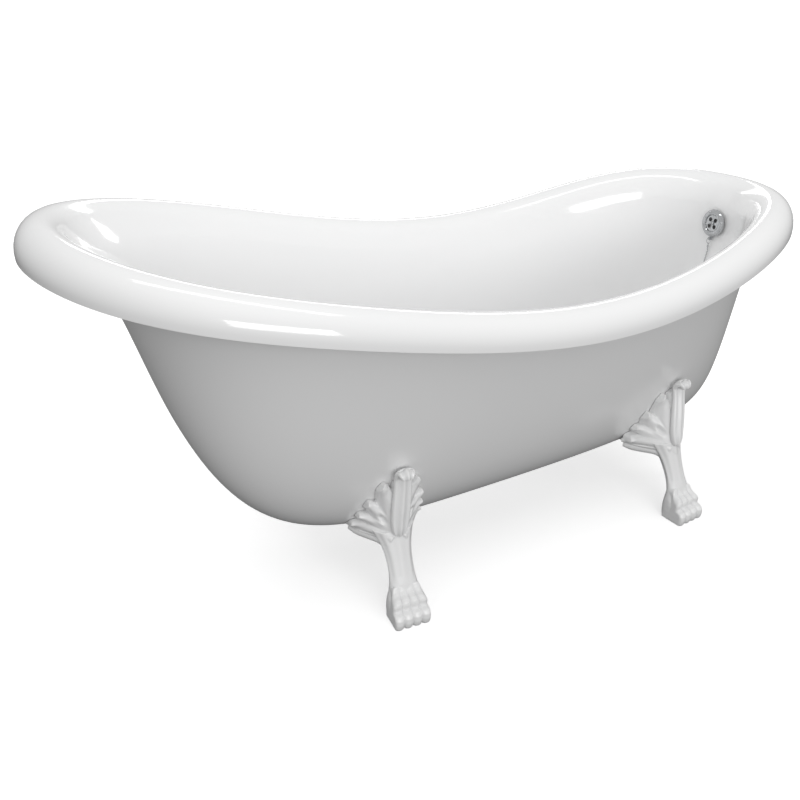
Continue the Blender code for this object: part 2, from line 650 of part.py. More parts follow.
def make_pipe(start, heading, tub_tree, skin_tree, mats):
    """The overflow pipe in the gap between tub and skin, from the elbow to the waste body."""
    start = start + heading * GAP
    route = [start, start + heading * 0.012]
    for slope in range(36, -81, -12):
        middle = cavity_middle(tub_tree, skin_tree, Vector((WASTE_X + 0.05, 0, 0.30)), slope)
        if middle.z < start.z - 0.03:
            route.append(middle)
    end_x = WASTE_X + SPIGOT_END + GAP
    route += [Vector((end_x + 0.018, 0, pipe_level())), Vector((end_x, 0, pipe_level()))]
    tube("overflow_pipe", smooth_line(route, 0.03), PIPE_R, mats["pipe_plastic"])
    sleeve = [(PIPE_R + GAP, -0.008), (0.0112, -0.008), (0.0112, 0.008), (PIPE_R + GAP, 0.008)]
    turn = Vector((0, 0, 1)).rotation_difference(heading).to_matrix().to_4x4()
    turned("pipe_nut_upper", sleeve, mats["pipe_plastic"], Matrix.Translation(start) @ turn, 16, ring=True)
    turned("pipe_nut_lower", sleeve, mats["pipe_plastic"],
           Matrix.Translation((end_x, 0, pipe_level())) @ Matrix.Rotation(pi / 2, 4, "Y"), 16, ring=True)


# ---- Chain -------------------------------------------------------------------------------------------
WALL_STEPS = (0.480, 0.440, 0.400, 0.360, 0.320, 0.290, 0.265, 0.245, 0.228, 0.213, 0.200, 0.191, 0.184)


def coupling(name, loop_centre, turn, mat, loop_r=0.0027, loop_wire=0.0005):
    """A chain end: a loop about local Y that goes round a wire, and a barrel along local Z for the ball."""
    place = Matrix.Translation(loop_centre) @ turn
    start = loop_r
    barrel = turned(name, [(0.0010, start), (COUPLING_R, start + 0.0010),
                           (COUPLING_R, start + COUPLING_LENGTH - 0.0010),
                           (0.0014, start + COUPLING_LENGTH)], mat, place, 12)
    loop = hoop(f"cutter_{name}_loop", loop_r, loop_wire, None,
                place @ Matrix.Rotation(pi / 2, 4, "X"), 12, 6)
    combine(barrel, loop, "UNION")
    return place @ Vector((0, 0, start + COUPLING_LENGTH))


def make_chain(frame, tub_tree, mats):
    """A ring in the overflow's stay, and the chain from it down the end wall to the plug's eye."""
    hole = frame @ Vector((0, -STAY_HOLE_DROP, STAY_HOLE_REACH))
    ring_drop = RING_R + STAY_HOLE_R - RING_WIRE - GAP
    hoop("chain_ring", RING_R, RING_WIRE, mats["chrome"],
         Matrix.Translation(hole) @ Matrix.Rotation(pi / 2, 4, "Y"), shift=(ring_drop, 0, 0))
    ring_foot = hole - Vector((0, 0, ring_drop + RING_R))
    top_end = coupling("chain_coupling_top", ring_foot - Vector((0, 0, 0.0012)), Matrix.Rotation(pi, 4, "X"),
                       mats["chrome"])
    eye_side = Vector((WASTE_X + PLUG_EYE_R, 0, FLOOR_TOP + PLUG_EYE_Z))
    bottom_end = coupling("chain_coupling_bottom", eye_side + Vector((0.0009, 0, 0)),
                          Matrix.Rotation(pi / 2, 4, "Y") @ Matrix.Rotation(pi / 2, 4, "Z"), mats["chrome"])
    route = [top_end - Vector((0, 0, GAP)), top_end - Vector((0, 0, 0.010))]
    for z in WALL_STEPS:
        hit, normal = tub_tree.ray_cast(Vector((WASTE_X, 0, z)), Vector((1, 0, 0)))[:2]
        if z < route[-1].z - 0.006:
            route.append(hit + normal * (CHAIN_R + CHAIN_CLEARANCE))
    rest = FLOOR_TOP + CHAIN_R + CHAIN_CLEARANCE
    for x, lift in ((0.538, 0.0004), (0.515, 0), (0.494, 0.0006), (0.480, 0.0060)):
        route.append(Vector((x, 0, rest + lift)))
    route += [bottom_end + Vector((0.009, 0, -0.0012)), bottom_end + Vector((GAP, 0, 0))]
    tube("ball_chain", smooth_line(route, 0.022), CHAIN_R, mats["chrome"], 1)


# ---- Build -------------------------------------------------------------------------------------------
def main():
    for obj in list(bpy.data.objects):
        bpy.data.objects.remove(obj, do_unlink=True)
    mats = {
        "acrylic": material("white_acrylic", (0.93, 0.93, 0.93), 0.12),
        "skin": material("white_skin", (0.86, 0.86, 0.86), 0.25),
        "foot": material("white_casting", (0.84, 0.84, 0.83), 0.35),
        "chrome": material("chrome", (0.80, 0.80, 0.80), 0.08, 1.0),
        "zinc": material("zinc_plate", (0.70, 0.70, 0.68), 0.35, 1.0),
        "rubber": material("black_rubber", (0.03, 0.03, 0.03), 0.80),
        "pipe_plastic": material("pipe_plastic", (0.80, 0.80, 0.80), 0.45),
        "timber": material("sealed_board", (0.62, 0.50, 0.34), 0.70),
    }
    angles = even_angles(RING_SIDES)
    tub = make_inner_tub(angles, mats["acrylic"])
    tub_tree = surface_tree(tub)
    skin = make_outer_skin(angles, tub_tree, mats["skin"])
    hull = make_skin_hull(angles)
    hull_tree = surface_tree(hull)
    feet = {}
    for foot_x in FOOT_X:
        for side in (-1, 1):
            feet[foot_x, side] = make_foot("claw_foot_" + foot_name(foot_x, side), foot_x, side, hull,
                                           hull_tree, mats["foot"])
    make_base(skin, feet, mats)
    make_waste(mats)
    make_plug(mats)
    frame = overflow_frame(tub_tree)
    pipe_start, pipe_heading = make_overflow(tub, frame, mats)
    make_pipe(pipe_start, pipe_heading, tub_tree, surface_tree(skin), mats)
    make_chain(frame, tub_tree, mats)


main()
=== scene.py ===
# %% [markdown]
# # A slipper bath on claw feet
# This lesson dresses a measured model of a freestanding bath. The measured model gives every piece its
# place, and the cells below give each visible piece its real shape and finish. The bath is a white
# acrylic tub inside a white outer skin. Four cast feet carry it, and a chrome overflow holds the plug's
# chain at the low end.

from math import ceil, comb, cos, exp, pi, radians, sin

import bmesh
import bpy
from mathutils import Matrix, Vector
from mathutils.bvhtree import BVHTree


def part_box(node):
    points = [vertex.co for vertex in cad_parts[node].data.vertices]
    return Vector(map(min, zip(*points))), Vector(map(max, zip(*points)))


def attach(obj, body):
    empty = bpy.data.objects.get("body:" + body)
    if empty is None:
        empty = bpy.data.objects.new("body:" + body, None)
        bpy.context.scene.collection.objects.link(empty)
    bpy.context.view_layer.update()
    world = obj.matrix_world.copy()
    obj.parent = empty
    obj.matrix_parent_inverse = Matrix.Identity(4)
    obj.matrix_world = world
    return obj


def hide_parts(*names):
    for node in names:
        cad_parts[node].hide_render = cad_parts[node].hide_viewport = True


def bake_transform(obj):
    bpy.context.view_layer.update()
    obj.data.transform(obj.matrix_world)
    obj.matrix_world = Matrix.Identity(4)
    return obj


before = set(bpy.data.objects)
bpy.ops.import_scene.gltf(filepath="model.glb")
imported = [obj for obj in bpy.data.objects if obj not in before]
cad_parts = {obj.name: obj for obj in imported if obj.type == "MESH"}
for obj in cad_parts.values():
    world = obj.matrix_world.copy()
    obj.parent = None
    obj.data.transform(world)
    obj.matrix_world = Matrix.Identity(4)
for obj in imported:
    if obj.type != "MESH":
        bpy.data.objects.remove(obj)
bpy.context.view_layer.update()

# %% [markdown]
# ## The camera
# The bath is seen from above its high end and from its near side, with a lens a little longer than
# normal. The lens is shifted slightly, as a view camera is, so the frame holds the whole bath.

# %% Camera
camera = bpy.data.objects.new("camera", bpy.data.cameras.new("camera"))
bpy.context.collection.objects.link(camera)
LOOK_DOWN, LOOK_ASIDE = 0.4199, 0.5189  # radians below level, and from +Y towards +X
camera.location = (-0.973, -1.576, 1.193)
camera.rotation_euler = (pi / 2 - LOOK_DOWN, 0, -LOOK_ASIDE)
camera.data.lens = 41.2
camera.data.shift_x = -0.0375
camera.data.shift_y = -0.0475
bpy.context.scene.camera = camera
print("camera at", tuple(camera.location))

# %% [markdown]
# ## Finishes
# Each finish is a small node tree behind one Principled shader. Sums on values are written as plain
# sums: the class below wraps a socket, and each operator on it adds a Math node.


# %% Sums on sockets
class Wire:
    """A socket that can be used in sums."""

    def __init__(self, finish, socket):
        self.finish = finish
        self.socket = socket

    def __add__(self, other):
        return self.finish.math("ADD", self, other)

    def __mul__(self, other):
        return self.finish.math("MULTIPLY", self, other)

    def __pow__(self, other):
        return self.finish.math("POWER", self, other)


class Finish:
    """A material with one Principled shader and the nodes that vary it."""

    def __init__(self, name, colour, slot, **constants):
        self.slot = slot
        self.material = bpy.data.materials.new(name)
        self.material.use_nodes = True
        self.tree = self.material.node_tree
        self.shader = self.tree.nodes["Principled BSDF"]
        self.shader.inputs["Base Color"].default_value = (*colour, 1)
        for socket, value in constants.items():
            label = socket.replace("_", " ").title().replace("Ior", "IOR")
            self.shader.inputs[label].default_value = value

    def node(self, kind, settings=(), sockets=(), output=0):
        """Adds a node: its settings first, then the values or wires of its sockets."""
        made = self.tree.nodes.new(kind)
        for name, value in dict(settings).items():
            if name == "stops":
                while len(made.color_ramp.elements) < len(value):
                    made.color_ramp.elements.new(0.5)
                for element, (place, shade) in zip(made.color_ramp.elements, value):
                    element.position = place
                    element.color = (shade, shade, shade, 1)
            else:
                setattr(made, name, value)
        for name, value in dict(sockets).items():
            self.feed(made.inputs[name], value)
        return Wire(self, made.outputs[output])

    def feed(self, socket, value):
        if isinstance(value, Wire):
            self.tree.links.new(value.socket, socket)
        else:
            socket.default_value = value

    def math(self, operation, *values):
        return self.node("ShaderNodeMath", {"operation": operation}, dict(enumerate(values)))

    def place(self):
        """The point on the piece, in metres."""
        return self.node("ShaderNodeTexCoord", output=3)

    def noise(self, scale, detail):
        return self.node("ShaderNodeTexNoise", {}, {"Vector": self.place(), "Scale": scale, "Detail": detail})

    def ramp(self, value, *stops):
        return self.node("ShaderNodeValToRGB", {"stops": stops}, {"Fac": value})

    def mix(self, share, a, b):
        """A colour between a and b."""
        full = [(*c, 1) if isinstance(c, tuple) else c for c in (a, b)]
        return self.node("ShaderNodeMix", {"data_type": "RGBA"}, {0: share, 6: full[0], 7: full[1]}, output=2)

    def vary(self, **sockets):
        for name, value in sockets.items():
            self.feed(self.shader.inputs[name.replace("_", " ").title()], value)

    def bump(self, height, depth, strength):
        """Fine relief from a height, up to this depth in metres."""
        relief = self.node("ShaderNodeBump", {}, {"Height": height, "Distance": depth, "Strength": strength})
        self.feed(self.shader.inputs["Normal"], relief)


print("sums and finishes ready")

# %% [markdown]
# ### White acrylic and its skin
# The tub is a sheet of cast acrylic with a high gloss. The outer skin is the same white but less
# polished, so its highlights are broad. In both, the tone and the gloss drift a little from place to
# place, as they do on a real sheet.

# %% Acrylic
acrylic = Finish("white_acrylic_gloss", (0.90, 0.90, 0.90), "white_acrylic", roughness=0.11,
                 coat_weight=0.5, coat_roughness=0.04, ior=1.49)
haze = acrylic.noise(3, 1)
acrylic.vary(base_color=acrylic.mix(haze, (0.885, 0.887, 0.89), (0.915, 0.915, 0.913)),
             roughness=haze * 0.03 + 0.09)

skin_white = Finish("white_skin_satin", (0.86, 0.86, 0.86), "white_skin", roughness=0.27,
                    coat_weight=0.25, coat_roughness=0.18, ior=1.49)
haze = skin_white.noise(3, 1)
skin_white.vary(base_color=skin_white.mix(haze, (0.845, 0.847, 0.85), (0.875, 0.875, 0.873)),
                roughness=haze * 0.01 + 0.26)
print("acrylic and skin:", acrylic.material.name, skin_white.material.name)

# %% [markdown]
# ### Painted castings
# The feet are cast and then sprayed white, and the paint softens the carving. Their colour carries painted
# shade: darker in the hollows and lighter on the ridges. Pointiness, which says how sharp the surface is,
# tells hollows from ridges, and a grain of sand-cast bumps shows through the paint.

# %% Castings
casting = Finish("white_casting_paint", (0.84, 0.84, 0.84), "white_casting", roughness=0.34,
                 coat_weight=0.3, coat_roughness=0.22, ior=1.5)
sharpness = casting.node("ShaderNodeNewGeometry", output=7)
# painted shade: a mask that is low in the hollows and high on the ridges
painted_hollow_shade = casting.ramp(sharpness, (0.44, 0.0), (0.53, 1.0))
grain = casting.noise(650, 2)
dust = casting.noise(35, 3)
# base colour with painted shade, darker in the hollows and lighter on the ridges
casting.vary(base_color=casting.mix(painted_hollow_shade, (0.74, 0.745, 0.75), (0.91, 0.91, 0.908)),
             roughness=dust * 0.14 + 0.27)
casting.bump(grain * 0.3 + casting.noise(120, 2), 0.0004, 0.15)
print("casting:", casting.material.name)

# %% [markdown]
# ### Chrome, zinc, rubber, plastic and board
# Chrome is a mirror with a faint film of fingerprints. Zinc plate is duller and a little mottled. The
# seals are black rubber, the hidden pipework is moulded plastic, and the boards under the bather are
# chipboard sealed in resin and glass strand.

# %% Chrome and zinc
chrome = Finish("chrome_plate", (0.50, 0.51, 0.52), "chrome", roughness=0.07, metallic=1.0)
film = chrome.noise(160, 3)
chrome.vary(base_color=chrome.mix(film, (0.44, 0.45, 0.46), (0.56, 0.57, 0.58)),
            roughness=film ** 2 * 0.16 + 0.04)
chrome.bump(chrome.noise(260, 1), 0.0002, 0.06)

zinc = Finish("zinc_plate_dull", (0.62, 0.63, 0.62), "zinc_plate", roughness=0.36, metallic=1.0)
zinc.vary(base_color=zinc.mix(zinc.noise(900, 1), (0.50, 0.51, 0.52), (0.70, 0.70, 0.67)),
          roughness=zinc.noise(300, 2) * 0.25 + 0.24)
zinc.bump(zinc.noise(700, 2), 0.0003, 0.15)
print("metals:", chrome.material.name, zinc.material.name)

# %% Rubber, plastic and board
rubber = Finish("black_rubber_moulded", (0.03, 0.03, 0.03), "black_rubber", roughness=0.7)
bloom = rubber.noise(90, 4)
rubber.vary(base_color=rubber.mix(bloom, (0.018, 0.018, 0.019), (0.055, 0.055, 0.054)),
            roughness=bloom * 0.3 + 0.5)
rubber.bump(rubber.noise(1400, 1), 0.0002, 0.3)

plastic = Finish("pipe_plastic_moulded", (0.74, 0.74, 0.73), "pipe_plastic", roughness=0.42)
cloud = plastic.noise(40, 3)
plastic.vary(base_color=plastic.mix(cloud, (0.70, 0.705, 0.70), (0.79, 0.79, 0.78)),
             roughness=cloud * 0.2 + 0.32)
plastic.bump(plastic.noise(900, 2), 0.0002, 0.25)

board = Finish("sealed_chipboard", (0.55, 0.43, 0.28), "sealed_board", roughness=0.5)
chips = board.node("ShaderNodeTexVoronoi", {}, {"Vector": board.place(), "Scale": 260.0}, output=1)
chip_tone = board.node("ShaderNodeSeparateColor", {}, {"Color": chips})
strands = board.noise(85, 4)
wood = board.mix(chip_tone, (0.42, 0.30, 0.17), (0.68, 0.55, 0.37))
board.vary(base_color=board.mix(board.ramp(strands, (0.52, 0.0), (0.62, 0.6)), wood, (0.72, 0.66, 0.52)),
           roughness=strands * 0.3 + 0.32)
board.bump(strands * 0.8 + board.noise(300, 2) * 0.3, 0.0009, 0.5)
print("seals, pipes and boards ready")

# %% [markdown]
# ## Making solids
# Nearly every piece is a stack of rings, a turned profile or a tapered limb along a curve. These
# helpers make those three, and cut round holes.


# %% Mesh helpers
def new_piece(name, bm, finish, body="bath", matrix=None, crease=None):
    """A finished object from a bmesh, riding on its body."""
    bmesh.ops.recalc_face_normals(bm, faces=bm.faces)
    mesh = bpy.data.meshes.new(name)
    bm.to_mesh(mesh)
    bm.free()
    if matrix is not None:
        mesh.transform(matrix)
    mesh.shade_smooth()
    if crease:
        mesh.set_sharp_from_angle(angle=radians(crease))
    piece = bpy.data.objects.new(name, mesh)
    bpy.context.collection.objects.link(piece)
    if finish:
        mesh.materials.append(finish.material)
        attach(piece, body)
    return piece


def ring_faces(bm, rings, loop=False):
    """Quads between neighbouring rings; a loop joins the last ring to the first, else the ends are capped."""
    rows = [[bm.verts.new(p) for p in ring] for ring in rings]
    pairs = list(zip(rows, rows[1:])) + ([(rows[-1], rows[0])] if loop else [])
    for low, high in pairs:
        for i in range(len(low)):
            j = (i + 1) % len(low)
            bm.faces.new((low[i], low[j], high[j], high[i]))
    if not loop:
        bm.faces.new(rows[0][::-1])
        bm.faces.new(rows[-1])
    return rows


def turns(count):
    return [2 * pi * k / count for k in range(count)]


def circle(radius, z, sides):
    """A ring of points about Z."""
    return [Vector((radius * cos(a), radius * sin(a), z)) for a in turns(sides)]


def upright_loop(place, radius, height, count):
    """A ring of points in the X and Z plane of a place."""
    return [place @ Vector((radius * cos(a), 0, height + radius * sin(a))) for a in turns(count)]


def four_around(radius):
    """Four places round a centre, between the arms of a cross."""
    return [(radius * cos(a), radius * sin(a)) for a in (pi / 4 + k * pi / 2 for k in range(4))]


def rounded(profile, radius, steps=3):
    """A profile with its corners rounded to at most this radius."""
    points = [Vector(p) for p in profile]
    out = []
    for k, corner in enumerate(points):
        before, after = points[k - 1], points[(k + 1) % len(points)]
        reach = min(radius, (before - corner).length * 0.45, (after - corner).length * 0.45)
        start = corner + (before - corner).normalized() * reach
        end = corner + (after - corner).normalized() * reach
        for n in range(steps + 1):
            t = n / steps
            out.append((1 - t) ** 2 * start + 2 * t * (1 - t) * corner + t * t * end)
    return out


def turned(name, profile, finish, matrix, sides, fillet, body="bath", crease=40):
    """A turned ring about local Z from a closed profile of (radius, z)."""
    bm = bmesh.new()
    ring_faces(bm, [circle(p.x, p.y, sides) for p in rounded(profile, fillet)], loop=True)
    return new_piece(name, bm, finish, body, matrix, crease)


def turned_solid(name, profile, finish, matrix, sides=48):
    """A turned solid about local Z from a profile of (radius, z), with flat ends."""
    bm = bmesh.new()
    ring_faces(bm, [circle(r, z, sides) for r, z in profile])
    return new_piece(name, bm, finish, matrix=matrix, crease=40)


def shade(piece, degrees):
    """Smooth shading, sharp where two faces meet at more than this."""
    piece.data.shade_smooth()
    piece.data.set_sharp_from_angle(angle=radians(degrees))


def settle(piece):
    """Applies the piece's modifiers to its mesh."""
    bpy.context.view_layer.update()
    graph = bpy.context.evaluated_depsgraph_get()
    shape = bpy.data.meshes.new_from_object(piece.evaluated_get(graph))
    piece.modifiers.clear()
    piece.data = shape


def merge(piece, others, operation):
    """Joins other solids to the piece, or cuts them from it, and removes them."""
    for other in others:
        mod = piece.modifiers.new(operation.lower(), "BOOLEAN")
        mod.operation = operation
        mod.solver = "EXACT"
        mod.object = other
    settle(piece)
    for other in others:
        bpy.data.objects.remove(other)


def drill(piece, holes, sides=32):
    """Cuts round holes, each (centre, axis, radius, depth)."""
    cutters = []
    for centre, axis, radius, depth in holes:
        turn = Vector((0, 0, 1)).rotation_difference(Vector(axis)).to_matrix().to_4x4()
        bm = bmesh.new()
        ring_faces(bm, [circle(radius, -depth / 2, sides), circle(radius, depth / 2, sides)])
        cutters.append(new_piece("cutter", bm, None, matrix=Matrix.Translation(centre) @ turn))
    merge(piece, cutters, "DIFFERENCE")


def surface(obj):
    """A tree of the object's faces, for finding points on them."""
    bm = bmesh.new()
    bm.from_mesh(obj.data)
    tree = BVHTree.FromBMesh(bm)
    bm.free()
    return tree


print("helpers for rings, turned profiles and holes")

# %% [markdown]
# ## The plug's chain
# A bead chain is a row of hollow balls joined by short pins. It hangs from the ring under the
# overflow, lies down the end wall, and crosses the floor of the well to the plug. The route is made
# first, because it is the one thing here that bends: the balls are then spaced along it.

# %% Route of the chain
WASTE_X = 0.440
FLOOR_TOP = 0.175
CHAIN_R = 0.0016
CLEARANCE = 0.0017  # chain to wall
PLUG_EYE_Z = 0.0187
PLUG_EYE_R = 0.0050
LOOP_R = 0.0027
WALL_STEPS = (0.480, 0.440, 0.400, 0.360, 0.320, 0.290, 0.265, 0.245, 0.228, 0.213, 0.200, 0.191, 0.184)

cad_tub = surface(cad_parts["inner_tub"])
OVERFLOW_Z = 0.580
TO_LOW_END = Vector((1, 0, 0))
beside = [cad_tub.ray_cast(Vector((WASTE_X, y, OVERFLOW_Z)), TO_LOW_END) for y in (-0.03, 0.03)]
wall_hit = (beside[0][0] + beside[1][0]) / 2
wall_normal = beside[0][1]
top_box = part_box("chain_coupling_top")
bottom_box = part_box("chain_coupling_bottom")
top_end = Vector(((top_box[0].x + top_box[1].x) / 2, 0, top_box[0].z))
bottom_end = Vector((bottom_box[1].x, 0, FLOOR_TOP + PLUG_EYE_Z))


def smooth_line(points, spacing):
    """Points at about this spacing along a Catmull-Rom curve through the given ones."""
    points = [Vector(p) for p in points]
    ends = [2 * points[0] - points[1]] + points + [2 * points[-1] - points[-2]]
    line = [points[0]]
    for a, b, c, d in zip(ends, ends[1:], ends[2:], ends[3:]):
        steps = max(1, ceil((c - b).length / spacing))
        for k in range(1, steps + 1):
            t = k / steps
            line.append(0.5 * ((2 * b) + (c - a) * t + (2 * a - 5 * b + 4 * c - d) * t * t
                               + (3 * b - a - 3 * c + d) * t**3))
    return line


route = [top_end, top_end - Vector((0, 0, 0.010))]
for z in WALL_STEPS:
    hit, normal = cad_tub.ray_cast(Vector((WASTE_X, 0, z)), TO_LOW_END)[:2]
    if z < route[-1].z - 0.006:
        route.append(hit + normal * (CHAIN_R + CLEARANCE))
rest_z = FLOOR_TOP + CHAIN_R + CLEARANCE
FLOOR_STEPS = ((0.538, 0.0004), (0.515, 0), (0.494, 0.0006), (0.480, 0.006))  # along the bath, and lift
route += [Vector((x, 0, rest_z + lift)) for x, lift in FLOOR_STEPS]
route += [bottom_end + Vector((0.009, 0, -0.0012)), bottom_end]
chain_line = smooth_line(route, 0.004)


def line_length(line):
    return sum((b - a).length for a, b in zip(line, line[1:]))


print("chain is", round(line_length(chain_line) * 1000), "mm long")

# %% [markdown]
# Each ball is a small sphere with half a pin on either side, turned to follow the line. The chain is made in
# two lengths, each one mesh.


# %% Balls and pins
BEAD_PITCH = 0.0042
PIN_SHARE = 0.36  # pin to ball, in radius
UPPER_LENGTH = 0.10


def along(line, distance):
    """The point and direction at this distance along a line."""
    for a, b in zip(line, line[1:]):
        step = (b - a).length
        if distance <= step:
            return a.lerp(b, distance / step), (b - a).normalized()
        distance -= step
    return line[-1], (line[-1] - line[-2]).normalized()


def bead_chain(name, line, radius, pitch, finish):
    """Balls on pins along a line, as one mesh."""
    total = line_length(line)
    count = round(total / pitch)
    bm = bmesh.new()
    rings = 9
    pin = radius * PIN_SHARE
    reach = total / count / 2
    tilts = [-pi / 2 + pi * (k + 1) / (rings + 1) for k in range(rings)]
    ball = [(max(radius * cos(a), pin), radius * sin(a)) for a in tilts]
    for n in range(count):
        centre, heading = along(line, total * (n + 0.5) / count)
        turn = Vector((0, 0, 1)).rotation_difference(heading).to_matrix()
        stack = [(pin, -reach)] + ball + [(pin, reach)]
        ring_faces(bm, [[centre + turn @ p for p in circle(r, z, 14)] for r, z in stack])
    piece = new_piece(name, bm, None, crease=50)
    piece.data.materials.append(finish.material)
    return piece


split_at = next(k for k, p in enumerate(chain_line) if (p - chain_line[0]).length > UPPER_LENGTH)
upper_line, lower_line = chain_line[:split_at + 1], chain_line[split_at:]
upper_chain = bead_chain("chain_upper", upper_line, CHAIN_R, BEAD_PITCH, chrome)
lower_chain = bead_chain("chain_lower", lower_line, CHAIN_R, BEAD_PITCH, chrome)
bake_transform(upper_chain)
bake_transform(lower_chain)
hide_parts("ball_chain")
print("chain faces", len(upper_chain.data.polygons) + len(lower_chain.data.polygons))

# %% [markdown]
# ## The tub and its skin
# The real tub is one sheet, drawn down into a mould: a rolled rim, a wall that leans in, and a flat
# floor. A stack of rings round the bath gives every one of those lines directly, and a ring is only a
# plan shape at a height. The plan is a superellipse that is wider at the head end.

# %% Plan and rim
LENGTH = 1.700
CORE_WIDTH = 0.700
CORE_TAPER = 0.123
PLAN_POWER_X, PLAN_POWER_Y = 4.35, 1.91
BASE_POWER_X, BASE_POWER_Y = 3.95, 3.13
RIM_HEIGHTS = (0.750, 0.648, 0.648, 0.321, 0.695, 0.630)
LIP_REACH, RIM_RISE, RIM_INNER = 0.045, 0.052, 0.044
TUB_WALL, SKIN_WALL = 0.005, 0.004
SKIN_INSET, SKIN_END_EASE, WELL_INSET = 0.028, 0.020, 0.050
UNDERSIDE = 0.125
SWEEP_DEPTH = 0.011  # how far under the flat the wall's curve would close
# each wall's lean and its bend, then how hard and how sharply it turns in to the flat
HEAD = (0.224, 0.5, 3.43, 5.9)
SIDE = (0.356, 1.0, 5.03, 4.48)
SKIN_FOOT = (0.115, 1.0, 12.0, 8.76)
WELL_FOOT = (0.170, 1.5, 12.0, 8.76)
CORE_HALF_LENGTH = LENGTH / 2 - LIP_REACH
CAD_SIDES = 40


def signed_power(value, power):
    """A power that keeps the sign of its value."""
    return (abs(value) ** power) * (1 if value >= 0 else -1)


def core_height(x):
    """Height of the rolled rim's core line: a Bezier curve along the bath."""
    u = min(max((x / (LENGTH / 2) + 1) / 2, 0), 1)
    last = len(RIM_HEIGHTS) - 1
    return sum(comb(last, i) * u**i * (1 - u) ** (last - i) * h for i, h in enumerate(RIM_HEIGHTS))


def plan_point(angle, half_length, half_width, power_x, power_y):
    """A point of the superellipse that is wider at the head end."""
    x = half_length * signed_power(cos(angle), 2 / power_x)
    y = half_width * signed_power(sin(angle), 2 / power_y)
    return x, y * (1 - CORE_TAPER * x / half_length)


def core_point(angle):
    x, y = plan_point(angle, CORE_HALF_LENGTH, CORE_WIDTH / 2, PLAN_POWER_X, PLAN_POWER_Y)
    return Vector((x, y, core_height(x)))


def core_normal(angle):
    ahead = core_point(angle + 1e-4) - core_point(angle - 1e-4)
    return Vector((ahead.y, -ahead.x, 0)).normalized()


def even_angles(count, shift=0.5):
    """Plan angles that space a ring's points evenly round the bath."""
    fine = 7200
    points = [core_point(2 * pi * i / fine).to_2d() for i in range(fine + 1)]
    travelled = [0.0]
    for p, q in zip(points, points[1:]):
        travelled.append(travelled[-1] + (q - p).length)
    angles = []
    i = 0
    for k in range(count):
        target = travelled[-1] * (k + shift) / count
        while travelled[i + 1] < target:
            i += 1
        share = (target - travelled[i]) / (travelled[i + 1] - travelled[i])
        angles.append(2 * pi * (i + share) / fine)
    return angles


def rim_ring(angles, turn, wall=0.0):
    """A ring of the rolled rim: turn 0 is the lip, 90 degrees the crown and 180 the well side."""
    reach = (LIP_REACH if cos(turn) > 0 else RIM_INNER) - wall
    return [core_point(a) + core_normal(a) * reach * cos(turn) + Vector((0, 0, (RIM_RISE - wall) * sin(turn)))
            for a in angles]


def sweep_point(angle, share, inset, end_ease, foot, flat_z):
    """A point of the well or the skin; share runs from 0 at the core line to 1 at the flat at flat_z."""
    facing = cos(angle)
    lean, bend, hard, sharp = foot if facing > 0 else HEAD
    half_length = CORE_HALF_LENGTH - inset + end_ease * max(facing, 0) ** 4
    x, y = plan_point(angle, half_length, CORE_WIDTH / 2 - inset, PLAN_POWER_X, PLAN_POWER_Y)
    top = core_height(x)
    t = share * (top - flat_z) / (top - flat_z + SWEEP_DEPTH)
    power_x = 1 / (1 / PLAN_POWER_X + (1 / BASE_POWER_X - 1 / PLAN_POWER_X) * t)
    power_y = 1 / (1 / PLAN_POWER_Y + (1 / BASE_POWER_Y - 1 / PLAN_POWER_Y) * t)
    x, y = plan_point(angle, half_length, CORE_WIDTH / 2 - inset, power_x, power_y)
    side_lean, side_bend, side_hard, side_sharp = SIDE
    x *= (1 - lean * t**bend) * (1 - t**hard) ** (1 / sharp)
    y *= (1 - side_lean * t**side_bend) * (1 - t**side_hard) ** (1 / side_sharp)
    return Vector((x, y, top - share * (top - flat_z)))


def skin_ring(angles, share, wall=0.0):
    inset, flat_z = SKIN_INSET + wall, UNDERSIDE + wall
    return [sweep_point(a, share, inset, SKIN_END_EASE, SKIN_FOOT, flat_z) for a in angles]


print("lip heights at head, middle and low end:",
      [round(core_height(x), 3) for x in (-0.8, 0.0, 0.8)])

# %% [markdown]
# The overflow needs a flat place on the curved end wall, as a real mould has there. A point close to
# the middle of that wall is drawn in to the straight line between the two edges of the flat.


# %% Well wall with a flat for the overflow
FLAT_EDGE = even_angles(CAD_SIDES)[0]


def well_ring(angles, share, wall=0.0):
    ring = []
    edge = sweep_point(FLAT_EDGE, share, WELL_INSET - wall, 0.0, WELL_FOOT, FLOOR_TOP - wall)
    for a in angles:
        p = sweep_point(a, share, WELL_INSET - wall, 0.0, WELL_FOOT, FLOOR_TOP - wall)
        off_middle = min(a, 2 * pi - a) / FLAT_EDGE
        if off_middle < 1:
            t = min(max((1 - off_middle) / 0.6, 0), 1)
            p.x += (edge.x - p.x) * t * t * (3 - 2 * t)
        ring.append(p)
    return ring


SIDES = 240
angles = even_angles(SIDES, 0.0)


def floor_shrink(ring, share):
    """A ring drawn in towards the waste, so the flat floor has rings of its own."""
    centre = Vector((WASTE_X * 0.35, 0, ring[0].z))
    return [centre + (p - centre) * share for p in ring]


def spread(count, low, high):
    return [low + (high - low) * (k / (count - 1)) for k in range(count)]


def crowded(steps, power):
    """Shares from 0 to 1 that lie closer together towards 1."""
    return [1 - (1 - k / steps) ** power for k in range(steps + 1)]


